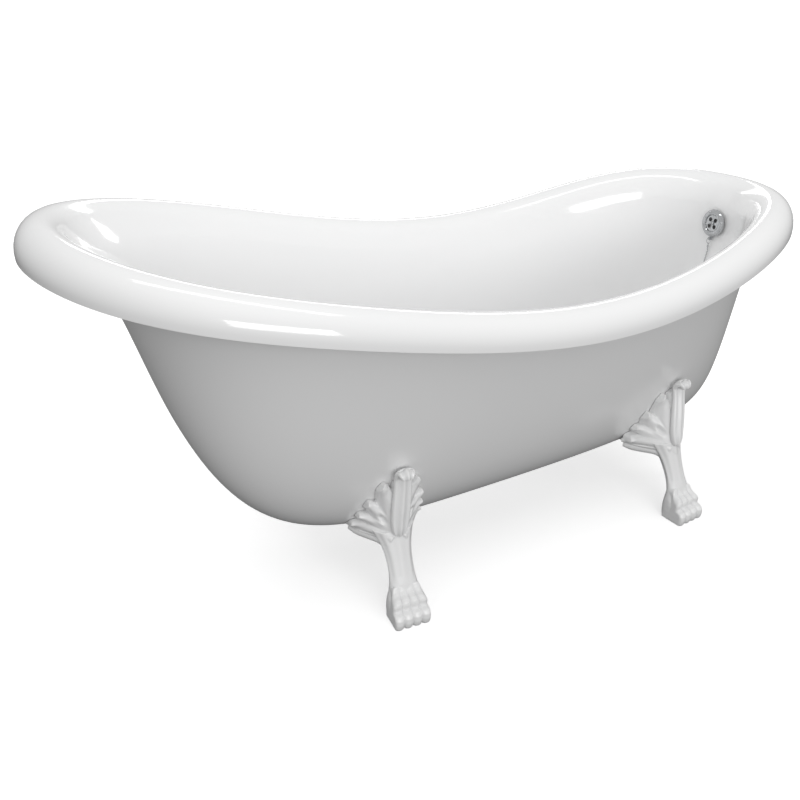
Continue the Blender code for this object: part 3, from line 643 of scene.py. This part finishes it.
WASTE_HOLE_R, OVERFLOW_HOLE_R = 0.0225, 0.020
WELL_SHARES = crowded(44, 1.55)
WELL_SHARES[0] = 0.012  # just under the end of the rolled rim
top_rings = [rim_ring(angles, radians(d)) for d in spread(17, -8, 158)]
top_rings += [well_ring(angles, s) for s in WELL_SHARES]
top_rings += [floor_shrink(top_rings[-1], s) for s in (0.9, 0.7)]
under_rings = [rim_ring(angles, radians(d), TUB_WALL) for d in spread(11, -8, 152)]
under_rings += [well_ring(angles, s, TUB_WALL) for s in WELL_SHARES[::3] + [1.0]]
bm = bmesh.new()
ring_faces(bm, top_rings[::-1] + under_rings)
tub = new_piece("bath_tub", bm, acrylic)
drill(tub, [(Vector((WASTE_X, 0, FLOOR_TOP)), (0, 0, 1), WASTE_HOLE_R, 0.03),
            (wall_hit, wall_normal, OVERFLOW_HOLE_R, 0.04)], 48)
shade(tub, 50)
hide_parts("inner_tub")
print("tub faces", len(tub.data.polygons))

# %% [markdown]
# The skin hangs from under the rim and closes to a flat base. It is a second shell, made from the same
# rings with less inset. Its top edge meets the underside of the rolled rim, so each top point is
# raised until it touches.

# %% Outer skin
tub_tree = surface(tub)
SKIN_SHARES = crowded(46, 1.5)
CONTACT = 0.0006  # hairline left between two pieces that bear on each other
FOOT_X = (-0.298, 0.423)
FOOT_Y = 0.312
BOLT_Y, BOLT_SPREAD, BOLT_HOLE_R = 0.078, 0.014, 0.0044
WASTE_OPENING_R = 0.055


def under_rim(ring):
    raised = []
    for p in ring:
        hit = tub_tree.ray_cast(p - Vector((0, 0, 0.02)), Vector((0, 0, 1)))[0]
        raised.append(Vector((p.x, p.y, (hit.z if hit else p.z + 0.03) - CONTACT)))
    return raised


def skin_shell(wall, shares, edge=True):
    rings = [skin_ring(angles, s, wall) for s in shares]
    return ([under_rim(rings[0])] if edge else []) + rings


bm = bmesh.new()
outer = skin_shell(0, SKIN_SHARES)
inner = skin_shell(SKIN_WALL, SKIN_SHARES[::3] + [1.0])
outer.append(floor_shrink(outer[-1], 0.94))
inner.append(floor_shrink(inner[-1], 0.94))
ring_faces(bm, outer[::-1] + inner)
skin = new_piece("bath_skin", bm, skin_white)
bolts = [(Vector((x + d * BOLT_SPREAD, y * BOLT_Y, UNDERSIDE)), (0, 0, 1), BOLT_HOLE_R, 0.02)
         for x in FOOT_X for y in (-1, 1) for d in (-1, 1)]
drill(skin, [(Vector((WASTE_X, 0, UNDERSIDE)), (0, 0, 1), WASTE_OPENING_R, 0.03)] + bolts, 40)
shade(skin, 50)
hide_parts("outer_skin")
bm = bmesh.new()
ring_faces(bm, skin_shell(-CONTACT, SKIN_SHARES, edge=False)[::-1])
hull = new_piece("guide", bm, None)
hull_tree = surface(hull)
bpy.data.objects.remove(hull)
print("skin faces", len(skin.data.polygons))

# %% [markdown]
# ## The claw feet
# Each foot is one casting: a paw with four toes, a fluted shank, and a spray of acanthus leaves that
# bears on the skin. The block and the toes are stacks of sections, the leaf is a carved surface, and
# its tongue and the scrolls are tapered limbs along curves. A voxel remesh fuses them, which is how a
# mould maker's clay joins, and they are then smoothed as sprayed paint would be.


# %% Limbs along curves
RIB_PITCH = 0.92  # from rib to rib of a leaf, as a share of its half width
SPLAY = radians(5.0)  # how far the feet turn towards the bath's ends
PROBE = 0.3  # start of a ray towards the skin, well outside it
LIMB_STEPS = 5


class Carving:
    """Collects the solids of one foot in its own directions: across, outward and up."""

    def __init__(self, foot_x, side):
        self.side = side
        splay = SPLAY * (1 if foot_x > 0 else -1)
        self.outward = Vector((sin(splay), -cos(splay), 0))
        self.across = Vector((cos(splay), sin(splay), 0))
        self.base = Vector((foot_x, -FOOT_Y, 0))
        self.bm = bmesh.new()

    def near(self, p):
        """From across, outward and up to the bath's own frame, on the near side."""
        q = self.base + self.across * p[0] + self.outward * p[1]
        return Vector((q.x, q.y, p[2]))

    def world(self, p):
        """The same place on the foot's own side of the bath."""
        q = self.near(p)
        return Vector((q.x, -q.y * self.side, q.z))

    def skin_at(self, s, z):
        """How far out the bath's skin is here."""
        hit = hull_tree.ray_cast(self.near((s, PROBE, z)), -self.outward)
        return PROBE - hit[3] if hit[0] is not None else None

    def rings(self, rings):
        ring_faces(self.bm, [[self.world(p) for p in ring] for ring in rings])

    def limb(self, rows, facing, sides=20, relief=0.0):
        """A tapered limb; each row is across, outward, up, half width and half thickness."""
        rows = [list(r) for r in rows]
        ends = [[2 * a - b for a, b in zip(rows[0], rows[1])]] + rows
        ends += [[2 * a - b for a, b in zip(rows[-1], rows[-2])]]
        line = []
        for a, b, c, d in zip(ends, ends[1:], ends[2:], ends[3:]):
            for k in range(LIMB_STEPS):
                t = k / LIMB_STEPS
                line.append([0.5 * (2 * q + (r - p) * t + (2 * p - 5 * q + 4 * r - s) * t * t
                                    + (3 * q - p - 3 * r + s) * t**3) for p, q, r, s in zip(a, b, c, d)])
        line.append(rows[-1])
        rings = []
        for k, row in enumerate(line):
            here = Vector(row[:3])
            ahead = Vector(line[min(k + 1, len(line) - 1)][:3]) - Vector(line[max(k - 1, 0)][:3])
            ahead.normalize()
            wide = ahead.cross(Vector(facing)).normalized()
            thick = wide.cross(ahead)
            ring = []
            for a in turns(sides):
                c, n = cos(a), sin(a)
                rib = relief * cos(2 * pi * c / RIB_PITCH) * max(n, 0)**0.5
                ring.append(here + wide * max(row[3], 4e-4) * c + thick * (max(row[4], 4e-4) * n + rib))
            rings.append(ring)
        self.rings(rings)

    def pair(self, rows, facing):
        """The same limb on both sides of the foot."""
        self.limb(rows, facing)
        self.limb([(-r[0], *r[1:]) for r in rows], facing)


def section(half_width, back, front, z, squareness):
    """A level section of the foot's body, fluted where it belongs to the shank."""
    centre, half_depth = (front + back) / 2, (front - back) / 2
    depth = FLUTE_DEPTH if z > SHANK_FROM else 0
    ring = []
    for turn in turns(96):
        cut = 1 - depth * (0.5 - 0.5 * cos(FLUTES * turn))
        ring.append((half_width * signed_power(sin(turn), squareness) * cut,
                     centre + half_depth * signed_power(cos(turn), squareness) * cut, z))
    return ring


print("carving tools ready")

# %% [markdown]
# The body of the foot is a stack of sections: the block of the paw, the ankle and the shank that leans
# in under the bath. Its numbers are half width, back, front, height and squareness. A toe has a side
# profile, and the table after it says how far the profile is drawn in across the toe. The leaf spreads
# round a middle at the top of the shank, and its outline is a few angles and reaches.

# %% Sections of the body
FLUTES, FLUTE_DEPTH, SHANK_FROM = 9, 0.055, 0.080
PAW_BLOCK = (
    (0.0325, -0.0400, 0.004, -0.004, 0.52), (0.0355, -0.0425, 0.005, 0.006, 0.52),
    (0.0365, -0.0435, 0.005, 0.020, 0.56), (0.0362, -0.0435, 0.003, 0.034, 0.62),
    (0.0348, -0.0430, -0.001, 0.046, 0.72), (0.0320, -0.0425, -0.006, 0.056, 0.82),
    (0.0294, -0.0430, -0.010, 0.066, 0.92), (0.0278, -0.0470, -0.0135, 0.078, 0.97),
    (0.0266, -0.0530, -0.019, 0.092, 1.0), (0.0264, -0.0600, -0.0245, 0.106, 1.0),
    (0.0272, -0.0680, -0.030, 0.120, 1.0), (0.0290, -0.0770, -0.035, 0.134, 1.0),
    (0.0325, -0.0880, -0.040, 0.148, 1.0), (0.0380, -0.1000, -0.045, 0.162, 1.0),
    (0.0440, -0.1100, -0.049, 0.175, 1.0),
)
TOE_PROFILE = (
    (-0.036, -0.003), (0.0200, -0.003), (0.0246, 0.004), (0.0268, 0.013), (0.0262, 0.0235), (0.0215, 0.0305),
    (0.0155, 0.0328), (0.0112, 0.0345), (0.0104, 0.0390), (0.0122, 0.0460), (0.0104, 0.0520),
    (0.0048, 0.0568), (-0.0030, 0.0605), (-0.0095, 0.0665), (-0.0135, 0.0750), (-0.036, 0.0750),
)
TOE_ACROSS = ((-1.0, 0.0085), (-0.92, 0.0052), (-0.70, 0.0020), (-0.35, 0.0004), (0.0, 0.0),
              (0.35, 0.0004), (0.70, 0.0020), (0.92, 0.0052), (1.0, 0.0085))
TOE_PITCH = 0.0180
TOE_CORE = Vector((-0.006, 0.028))  # the point of the profile that it is drawn in to
LEAF_MIDDLE = 0.176  # height of the point that the leaf spreads from
LEAF_TOP = 0.313
LEAF_EDGE = 0.014  # how proud of the bath the leaf's edge stands
LEAF_OUTLINE = ((0, 0.112), (10, 0.104), (18, 0.104), (29, 0.090), (47, 0.073), (68, 0.066), (87, 0.066),
                (103, 0.071), (117, 0.054), (140, 0.036), (180, 0.028))
LEAF_BASE_OUT = -0.046  # outward place of the leaf's front at its middle
LEAF_DRIFT = {"head": 0.012, "foot": 0.026}  # how far the tip leans along the bath
LOBE_FIRST, LOBE_PITCH, LOBE_LAST = 21.0, 24.0, 104.0  # degrees from upright
LOBE_REACH, NOTCH_REACH = 1.10, 0.28  # reach of a lobe, and how much of it a notch takes
LOBE_RELIEF, LOBE_CURL = 0.0038, 0.0060
EDGE_ROUND = 0.0050
EYE_AT, EYE_HEADING = (0.029, 0.204), (0.64, 0.77)  # the drilled eye between two lobes, across and up
EYE_DEPTH, EYE_LONG, EYE_WIDE = 0.0085, 0.0095, 0.0042
EYELID = 0.0030


def eased_step(value, low, high):
    t = min(1.0, max(0.0, (value - low) / (high - low)))
    return t * t * (3 - 2 * t)


def between(table, x):
    """Straight lines through the rows of a table of x and value."""
    for (x0, y0), (x1, y1) in zip(table, table[1:]):
        if x <= x1:
            return y0 + (y1 - y0) * max(x - x0, 0) / (x1 - x0)
    return table[-1][1]


def carve_toe(foot, centre, half):
    """One toe from its side profile: the lower joint, a step, the knuckle and the slope to the ankle."""
    rings = []
    for t, inset in TOE_ACROSS:
        ring = []
        for u, z in TOE_PROFILE:
            p = Vector((u, z))
            p += (TOE_CORE - p).normalized() * inset
            narrow = 1 - 0.22 * eased_step(p.y, 0.040, 0.074)
            ring.append(((centre + half * t) * narrow * (1 + 1.8 * max(p.x, 0)), p.x, p.y))
        rings.append(ring)
    foot.rings(rings)


class Leaf:
    """The carved leaf: how far out its front stands at each place."""

    def __init__(self, foot, drift):
        self.foot, self.drift = foot, drift
        self.tip = foot.skin_at(drift, LEAF_TOP - 0.004)
        self.lean = (self.tip + 0.008 - LEAF_BASE_OUT) / (LEAF_TOP - LEAF_MIDDLE)
        turned_out = [(LEAF_MIDDLE + r * cos(radians(a)), r * sin(radians(a))) for a, r in LEAF_OUTLINE]
        self.widths = sorted((z, max(w, 0.012)) for z, w in turned_out)

    def middle_at(self, z):
        return self.drift * eased_step(z, LEAF_MIDDLE - 0.02, LEAF_TOP)

    def spine_at(self, z):
        """The front of the leaf's middle: the line that the tongue lies on."""
        u = LEAF_BASE_OUT + self.lean * (z - LEAF_MIDDLE)
        under = self.foot.skin_at(self.middle_at(z), z)
        return max(u, under + 0.005) if under is not None else u

    def point(self, angle, share):
        """Across, front, height and skin at this angle from upright and share of the reach."""
        degrees = abs(angle) * 180 / pi
        lobe = 0.0
        reach = between(LEAF_OUTLINE, degrees)
        if 8 < degrees < LOBE_LAST:
            phase = pi * (degrees - LOBE_FIRST) / LOBE_PITCH
            lobe = cos(2 * phase)
            reach *= LOBE_REACH - NOTCH_REACH * sin(phase)**6
        r = reach * share
        z = LEAF_MIDDLE + r * cos(angle)
        offset = r * sin(angle)
        s = self.middle_at(z) + offset
        skin = self.foot.skin_at(s, z)
        skin = -0.13 if skin is None else max(skin, -0.13)
        spine = self.spine_at(z)
        a = min(1.0, abs(offset) / between(self.widths, z))
        front = skin + LEAF_EDGE + (spine - skin - LEAF_EDGE) * (1 - a**1.45)
        front += LOBE_RELIEF * lobe * eased_step(share, 0.45, 0.80)
        front += LOBE_CURL * max(lobe, 0) * eased_step(share, 0.78, 1.0)
        dx, dz = abs(offset) - EYE_AT[0], z - EYE_AT[1]
        along_eye = EYE_HEADING[0] * dx + EYE_HEADING[1] * dz
        across_eye = EYE_HEADING[1] * dx - EYE_HEADING[0] * dz
        front -= EYE_DEPTH * exp(-(along_eye / EYE_LONG)**2 - (across_eye / EYE_WIDE)**2)
        front += EYELID * exp(-((along_eye + 0.002) / 0.013)**2 - ((across_eye - 0.0085) / 0.0038)**2)
        front -= EDGE_ROUND * eased_step(share, 0.90, 1.0)
        return s, front, z, skin

    def carve(self, steps=30, sides=160):
        rings, backs = [], []
        for j in range(1, steps + 1):
            row = [self.point(2 * pi * (i + 0.5) / sides - pi, j / steps) for i in range(sides)]
            rings.append([(s, front, z) for s, front, z, skin in row])
            backs.append([(s, min(skin, front) - 0.010, z) for s, front, z, skin in row])
        self.foot.rings(rings + backs[::-6])


def seat(piece):
    """Presses the foot's back against the skin and its sole against the floor."""
    for v in piece.data.vertices:
        near, normal, _, reach = hull_tree.find_nearest(v.co)
        if (v.co - near).dot(normal) < CONTACT and v.co.z > UNDERSIDE - 0.03:
            v.co = near + normal * CONTACT
        if v.co.z < 0:
            v.co.z = 0


def carve_foot(name, foot_x, side, end):
    foot = Carving(foot_x, side)
    foot.rings([section(*row) for row in PAW_BLOCK])
    for k in range(4):
        carve_toe(foot, (k - 1.5) * TOE_PITCH, 0.51 * TOE_PITCH)
    leaf = Leaf(foot, LEAF_DRIFT[end])
    leaf.carve()
    # tongue: one tall leaf, ribbed down its middle, whose tip curls out and over
    rows = []
    for z, w, t in ((0.170, 0.0060, 0.005), (0.175, 0.0115, 0.008), (0.187, 0.0160, 0.010),
                    (0.205, 0.0186, 0.010), (0.230, 0.0194, 0.010), (0.255, 0.0188, 0.009),
                    (0.278, 0.0180, 0.008), (0.294, 0.0182, 0.008)):
        rows.append((leaf.middle_at(z), leaf.spine_at(z) + 0.001, z, w, t))
    middle, out = leaf.middle_at(LEAF_TOP), leaf.spine_at(0.300)
    for du, dz, w, t in ((0.002, -0.016, 0.0186, 0.0080), (0.0065, -0.0065, 0.0190, 0.0082),
                         (0.0130, -0.0020, 0.0182, 0.0084), (0.0195, -0.0045, 0.0160, 0.0078),
                         (0.0225, -0.0120, 0.0110, 0.0060)):
        rows.append((middle, out + du, LEAF_TOP + dz, w, t))
    foot.limb(rows, (0, 1, 0.02), sides=56, relief=0.0022)
    # two smooth scrolls on each side, from the shank back to the bath
    foot.pair([(0.010, -0.050, 0.160, 0.0080, 0.0080), (0.027, -0.072, 0.171, 0.0105, 0.0105),
               (0.046, -0.098, 0.172, 0.0110, 0.0105), (0.062, -0.122, 0.169, 0.0090, 0.0085),
               (0.074, -0.142, 0.163, 0.0045, 0.0045)], (0, 0.8, -0.6))
    foot.pair([(0.012, -0.058, 0.136, 0.0085, 0.0085), (0.025, -0.078, 0.149, 0.0105, 0.0105),
               (0.041, -0.102, 0.150, 0.0110, 0.0105), (0.056, -0.124, 0.149, 0.0095, 0.0090),
               (0.067, -0.142, 0.150, 0.0055, 0.0055)], (0, 0.8, -0.6))
    # the lug that runs in under the base
    lug = 0.1124
    outline = ((-0.246, lug), (-0.155, lug), (-0.082, 0.1395), (-0.066, 0.1475), (-0.068, 0.180),
               (-0.110, 0.175), (-0.160, 0.137), (-0.246, 0.128))
    ring_faces(foot.bm, [[Vector((foot_x + shift, side * (FOOT_Y + u), z)) for u, z in outline]
                         for shift in (-0.0235, 0.0235)])
    piece = new_piece(name, foot.bm, casting)
    remesh = piece.modifiers.new("fuse", "REMESH")
    remesh.mode = "VOXEL"
    remesh.voxel_size = 0.0012
    soften = piece.modifiers.new("soften", "SMOOTH")
    soften.factor = 0.5
    soften.iterations = 2
    settle(piece)
    seat(piece)
    piece.data.shade_smooth()
    return piece


for foot_x, end in zip(FOOT_X, ("head", "foot")):
    for side, where in ((-1, "near"), (1, "far")):
        name = f"claw_{end}_{where}"
        claw = carve_foot(name, foot_x, side, end)
        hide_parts(f"claw_foot_{end}_{where}")
        print(name, "faces", len(claw.data.polygons))

# %% [markdown]
# ## Overflow
# The overflow's face is a thick domed ring round a recessed grid, held by one central screw. Under it
# a stay carries the ring of the chain. They stand on the flat of the end wall, so they are made lying
# down and then turned to it.

# %% Overflow face
up_wall = Vector((0, 1, 0)).cross(wall_normal)
if up_wall.z < 0:
    up_wall = -up_wall
wall_axes = Matrix((up_wall.cross(wall_normal), up_wall, wall_normal)).transposed()
overflow = Matrix.Translation(wall_hit) @ wall_axes.to_4x4()
BACK = 0.0036  # from the wall to the back of the face
rose = turned("overflow_face", [
    (0.0188, BACK), (0.0328, BACK), (0.0336, BACK + 0.0012), (0.0337, BACK + 0.0030), (0.0330, BACK + 0.0056),
    (0.0312, BACK + 0.0080), (0.0284, BACK + 0.0096), (0.0252, BACK + 0.0101), (0.0226, BACK + 0.0096),
    (0.0208, BACK + 0.0082), (0.0200, BACK + 0.0064), (0.0196, BACK + 0.0054), (0.0034, BACK + 0.0054),
    (0.0034, BACK + 0.0026), (0.0186, BACK + 0.0026)], chrome, overflow, sides=96, fillet=0.0003, crease=55)
drill(rose, [(overflow @ Vector((x, y, BACK + 0.004)), wall_axes.col[2], 0.0053, 0.009)
             for x, y in four_around(0.0113)], 36)
shade(rose, 40)
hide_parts("overflow_rose")
screw = turned_solid("overflow_face_screw", [
    (0.0030, -0.010), (0.0030, BACK + 0.0050), (0.0050, BACK + 0.0058), (0.0051, BACK + 0.0066),
    (0.0046, BACK + 0.0078), (0.0034, BACK + 0.0086), (0.0016, BACK + 0.0090)], chrome, overflow)
for turn in (0, pi / 2):
    bm = bmesh.new()
    bmesh.ops.create_cube(bm, size=1.0)
    slot_cut = new_piece("cutter", bm, None, matrix=overflow @ Matrix.Translation((0, 0, BACK + 0.0090))
                         @ Matrix.Rotation(turn, 4, "Z") @ Matrix.Diagonal((0.0056, 0.0010, 0.0024, 1)))
    merge(screw, [slot_cut], "DIFFERENCE")
shade(screw, 40)
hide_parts("overflow_screw")
print("overflow face at", [round(c, 3) for c in wall_hit])

# %% Stay of the chain
STAY_DROP, STAY_REACH, STAY_HOLE_R = 0.0385, 0.0098, 0.0018
stay = turned("chain_stay_plate", [(0.0216, 0.0021), (0.0289, 0.0021), (0.0289, 0.0033), (0.0216, 0.0033)],
              chrome, overflow, sides=72, fillet=0.0002)


def slab(name, outline, thickness, matrix):
    """A flat plate from its outline in local X and Y, with rounded edges."""
    bm = bmesh.new()
    half = thickness / 2
    ring_faces(bm, [[Vector((x * k, y * k + (1 - k) * outline[0][1], z)) for x, y in outline]
                    for k, z in ((0.96, -half), (1, -half * 0.7), (1, half * 0.7), (0.96, half))])
    return new_piece(name, bm, None, matrix=matrix)


tab = slab("tab", [(-0.0040, -0.0265), (0.0040, -0.0265), (0.0040, -0.0395), (0.0026, -0.0420),
                   (-0.0026, -0.0420), (-0.0040, -0.0395)][::-1], 0.0011,
           overflow @ Matrix.Translation((0, 0, 0.0027)))
fin_outline = [(0.0024, -0.0418), (0.0024, -0.0350), (0.0095, -0.0350), (0.0122, -0.0362), (0.0134, -0.0385),
               (0.0122, -0.0408), (0.0095, -0.0420)]
fin = slab("fin", fin_outline, 0.0014, overflow @ Matrix((
    (0, 0, 1, 0), (0, 1, 0, 0), (1, 0, 0, 0), (0, 0, 0, 1))))
merge(stay, [tab, fin], "UNION")
drill(stay, [(overflow @ Vector((0, -STAY_DROP, STAY_REACH)), (0, 1, 0), STAY_HOLE_R, 0.008)], 28)
shade(stay, 40)
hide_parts("chain_stay")
print("stay faces", len(stay.data.polygons))

# %% [markdown]
# The ring is a split ring, two turns of wire wound close together, as on a key ring. The chain's ends
# are little barrels that close on the last ball, each with a loop of wire.


# %% Split ring and chain ends
def wire(name, points, radius, finish, body, loop=False, sides=12):
    """A round wire along points, as a mesh."""
    bm = bmesh.new()
    rings = []
    count = len(points)
    for k, p in enumerate(points):
        ahead = points[(k + 1) % count] if loop or k + 1 < count else points[k]
        behind = points[k - 1] if loop or k else points[k]
        heading = (ahead - behind).normalized()
        wide = heading.cross(Vector((0, 1, 0.01))).normalized()
        if k and wide.dot(rings[-1][0] - points[k - 1]) < 0:
            wide = -wide
        other = heading.cross(wide)
        shrink = 1 if loop or 0 < k < count - 1 else 0.6
        rings.append([p + (wide * cos(a) + other * sin(a)) * radius * shrink for a in turns(sides)])
    ring_faces(bm, rings, loop)
    return new_piece(name, bm, finish, body)


RING_WIRE, HOOP_WIRE = 0.00042, 0.0005
ring_low, ring_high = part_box("chain_ring")
ring_centre = (ring_low + ring_high) / 2
RING_R = (ring_high.z - ring_low.z) / 2 - 0.0006
coil = []
for k in range(97):
    a = 2 * pi * 2 * k / 96
    shift = -RING_WIRE + 2 * RING_WIRE * k / 96
    coil.append(ring_centre + Vector((shift, RING_R * sin(a), RING_R * cos(a))))
split_ring = wire("split_ring", coil, RING_WIRE, chrome, "ring")
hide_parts("chain_ring")


BARREL_PROFILE = (
    (0.0007, -0.0002), (0.0013, 0), (0.0019, 0.0007), (0.0021, 0.0016), (0.0020, 0.0026), (0.0021, 0.0036),
    (0.0021, 0.0050), (0.0018, 0.0058), (0.0011, 0.0064), (0.0007, 0.0060),
)


def chain_end(name, loop_centre, turn, body, node):
    """A barrel that holds the chain's last ball, and the wire loop it hangs by."""
    place = Matrix.Translation(loop_centre) @ turn
    profile = [(radius, LOOP_R + rise) for radius, rise in BARREL_PROFILE]
    barrel = turned(name, profile, chrome, place, sides=28, fillet=0.0001, body=body)
    loop = upright_loop(place, LOOP_R, 0, 40)
    hoop = wire("hoop", loop, HOOP_WIRE, None, body, loop=True, sides=10)
    merge(barrel, [hoop], "UNION")
    shade(barrel, 45)
    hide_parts(node)
    return barrel


top_loop = Vector((top_end.x, 0, top_box[1].z - LOOP_R - HOOP_WIRE))
end_top = chain_end("chain_end_top", top_loop, Matrix.Rotation(pi, 4, "X"), "ring", "chain_coupling_top")
bottom_loop = Vector((bottom_box[0].x + LOOP_R + HOOP_WIRE, 0, FLOOR_TOP + PLUG_EYE_Z))
lying = Matrix.Rotation(pi / 2, 4, "Y") @ Matrix.Rotation(pi / 2, 4, "Z")
end_bottom = chain_end("chain_end_bottom", bottom_loop, lying, "plug", "chain_coupling_bottom")
print("ring radius", round(RING_R * 1000, 2), "mm")

# %% [markdown]
# ## Waste and plug
# The waste is a turned chrome flange with a cross of metal low in its bore, and the plug is a chrome
# cap over a rubber cone, with an eye for the chain.

# %% Waste flange
waste = Matrix.Translation((WASTE_X, 0, FLOOR_TOP))
GRID_Z = FLOOR_TOP - 0.0175
flange = turned("waste_rim", [
    (0.0215, 0.0016), (0.0350, 0.0016), (0.0351, 0.0026), (0.0344, 0.0038), (0.0325, 0.0046),
    (0.0295, 0.0049), (0.0262, 0.0047), (0.0238, 0.0042), (0.0222, 0.0036), (0.0210, 0.0028),
    (0.0198, -0.0030), (0.0190, -0.0075), (0.0185, -0.0100), (0.0185, -0.0190), (0.0215, -0.0190),
], chrome, waste, sides=96, fillet=0.0003)
grid = turned_solid("grid", [(0.0195, -0.0187), (0.0195, -0.0160)], None, waste, 64)
merge(flange, [grid], "UNION")
drill(flange, [(Vector((WASTE_X + x, y, GRID_Z)), (0, 0, 1), 0.0054, 0.008) for x, y in four_around(0.0108)]
      + [(Vector((WASTE_X, 0, GRID_Z)), (0, 0, 1), 0.0035, 0.008)], 36)
shade(flange, 40)
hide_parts("waste_flange")

# %% Plug
plug_cap = turned("plug_cap", [
    (0.0022, 0.0106), (0.0060, 0.0105), (0.0110, 0.0102), (0.0160, 0.0096), (0.0200, 0.0086),
    (0.0228, 0.0073), (0.0239, 0.0062), (0.0240, 0.0053), (0.0158, 0.0053), (0.0158, -0.0083),
    (0.0172, -0.0083), (0.0172, -0.0095), (0.0022, -0.0095),
], chrome, waste, sides=72, fillet=0.0002, body="plug")
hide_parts("plug_body")
plug_cone = turned("plug_cone", [
    (0.0161, 0.0048), (0.0206, 0.0048), (0.0205, 0.0040), (0.0196, 0.0020), (0.0200, 0.0012),
    (0.0190, -0.0010), (0.0194, -0.0020), (0.0183, -0.0060), (0.0178, -0.0080), (0.0161, -0.0080),
], rubber, waste, sides=64, fillet=0.0003, body="plug")
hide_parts("plug_seal")
eye = turned("plug_eye_stem", [
    (0.0001, -0.0119), (0.0018, -0.0119), (0.0018, 0.0106), (0.0040, 0.0110), (0.0041, 0.0118),
    (0.0030, 0.0128), (0.0020, 0.0134), (0.0018, 0.0148), (0.0001, 0.0150),
], chrome, waste, sides=36, fillet=0.0002, body="plug")
eye_loop = upright_loop(waste, PLUG_EYE_R, PLUG_EYE_Z, 48)
merge(eye, [wire("hoop", eye_loop, 0.0009, None, "plug", loop=True, sides=14)], "UNION")
shade(eye, 45)
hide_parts("plug_eye")

# %% [markdown]
# ## Pieces kept as measured
# The pipework, seals, boards, bolts and washers are already the right shape, so they keep their
# meshes and only take a real finish.

# %% Finishes of the measured pieces
KEPT = {
    zinc: ("foot_bolt", "foot_washer", "waste_screw", "plug_nut"),
    rubber: ("overflow_front_seal", "overflow_back_seal", "waste_top_seal", "waste_lower_seal"),
    plastic: ("overflow_elbow", "overflow_pipe", "pipe_nut", "waste_body"),
    board: ("base_board", "foot_block"),
}
dressed = 0
for finish, starts in KEPT.items():
    for name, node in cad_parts.items():
        if name.startswith(starts):
            node.data.materials.clear()
            node.data.materials.append(finish.material)
            dressed += 1
print(dressed, "measured pieces dressed")

# %% [markdown]
# ## Room and light
# The bath stands in a white studio. The floor glows evenly and is there for the eye only: what the
# bath receives from below comes from the sky's lower half, which is dark underneath and grey towards
# the sides, so that the bath's flanks shade off towards the floor. A narrow lamp overhead and one behind
# lay highlights along the rim, and a broad one lights the near side.

# %% Floor
FLOOR_HALF, FLOOR_SINK, FLOOR_GLOW = 120, 0.0005, 0.50
bm = bmesh.new()
bmesh.ops.create_grid(bm, x_segments=8, y_segments=8, size=FLOOR_HALF)
floor_mesh = bpy.data.meshes.new("studio_floor")
bm.to_mesh(floor_mesh)
bm.free()
floor = bpy.data.objects.new("studio_floor", floor_mesh)
bpy.context.collection.objects.link(floor)
floor.location.z = -FLOOR_SINK
paint = Finish("studio_floor_paint", (0.90, 0.90, 0.90), None, roughness=0.9, specular_ior_level=0.0,
               emission_strength=FLOOR_GLOW)
paint.shader.inputs["Emission Color"].default_value = (1, 1, 1, 1)
floor.visible_diffuse = False
floor.visible_glossy = False
floor_mesh.materials.append(paint.material)

# %% Sky
SKY_TONES = ((0.0, 0.03), (0.36, 0.16), (0.50, 0.56), (0.62, 0.72), (1.0, 0.68))  # straight down to overhead
world = bpy.data.worlds.new("studio")
bpy.context.scene.world = world
world.use_nodes = True
sky = world.node_tree
direction = sky.nodes.new("ShaderNodeTexCoord")
split = sky.nodes.new("ShaderNodeSeparateXYZ")
tones = sky.nodes.new("ShaderNodeValToRGB")
sky.links.new(direction.outputs["Generated"], split.inputs[0])
lift = sky.nodes.new("ShaderNodeMath")
lift.operation = "MULTIPLY_ADD"
lift.inputs[1].default_value = lift.inputs[2].default_value = 0.5
sky.links.new(split.outputs["Z"], lift.inputs[0])
sky.links.new(lift.outputs[0], tones.inputs[0])
while len(tones.color_ramp.elements) < len(SKY_TONES):
    tones.color_ramp.elements.new(0.5)
for element, (place, tone) in zip(tones.color_ramp.elements, SKY_TONES):
    element.position = place
    element.color = (tone, tone, tone, 1)
sky.links.new(tones.outputs[0], sky.nodes["Background"].inputs["Color"])
sky.nodes["Background"].inputs["Strength"].default_value = 1.0


# %% Lamps
def softbox(name, place, aim, width, height, power):
    """A rectangular studio light, in metres and watts."""
    lamp = bpy.data.lights.new(name, "AREA")
    lamp.shape = "RECTANGLE"
    lamp.size, lamp.size_y = width, height
    lamp.energy = power
    obj = bpy.data.objects.new(name, lamp)
    bpy.context.collection.objects.link(obj)
    obj.location = place
    obj.rotation_euler = (Vector(aim) - Vector(place)).to_track_quat("-Z", "Y").to_euler()


softbox("ceiling", (-0.1, -0.2, 2.8), (0, 0, 0.5), 2.4, 0.30, 10)
softbox("back", (1.3, 2.7, 1.9), (0, 0, 0.6), 3.0, 0.35, 14)
softbox("front", (-0.6, -3.6, 1.5), (0, 0, 0.4), 2.6, 1.0, 42)
bpy.context.scene.view_settings.view_transform = "Standard"
print("room lit")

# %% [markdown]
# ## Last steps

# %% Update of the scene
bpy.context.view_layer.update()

# %% Length of each chain line
for part, line, ends, far_end in ((upper_chain, upper_line, [end_top], "object"),
                                  (lower_chain, lower_line, [end_bottom], "fitting")):
    line_length(line)
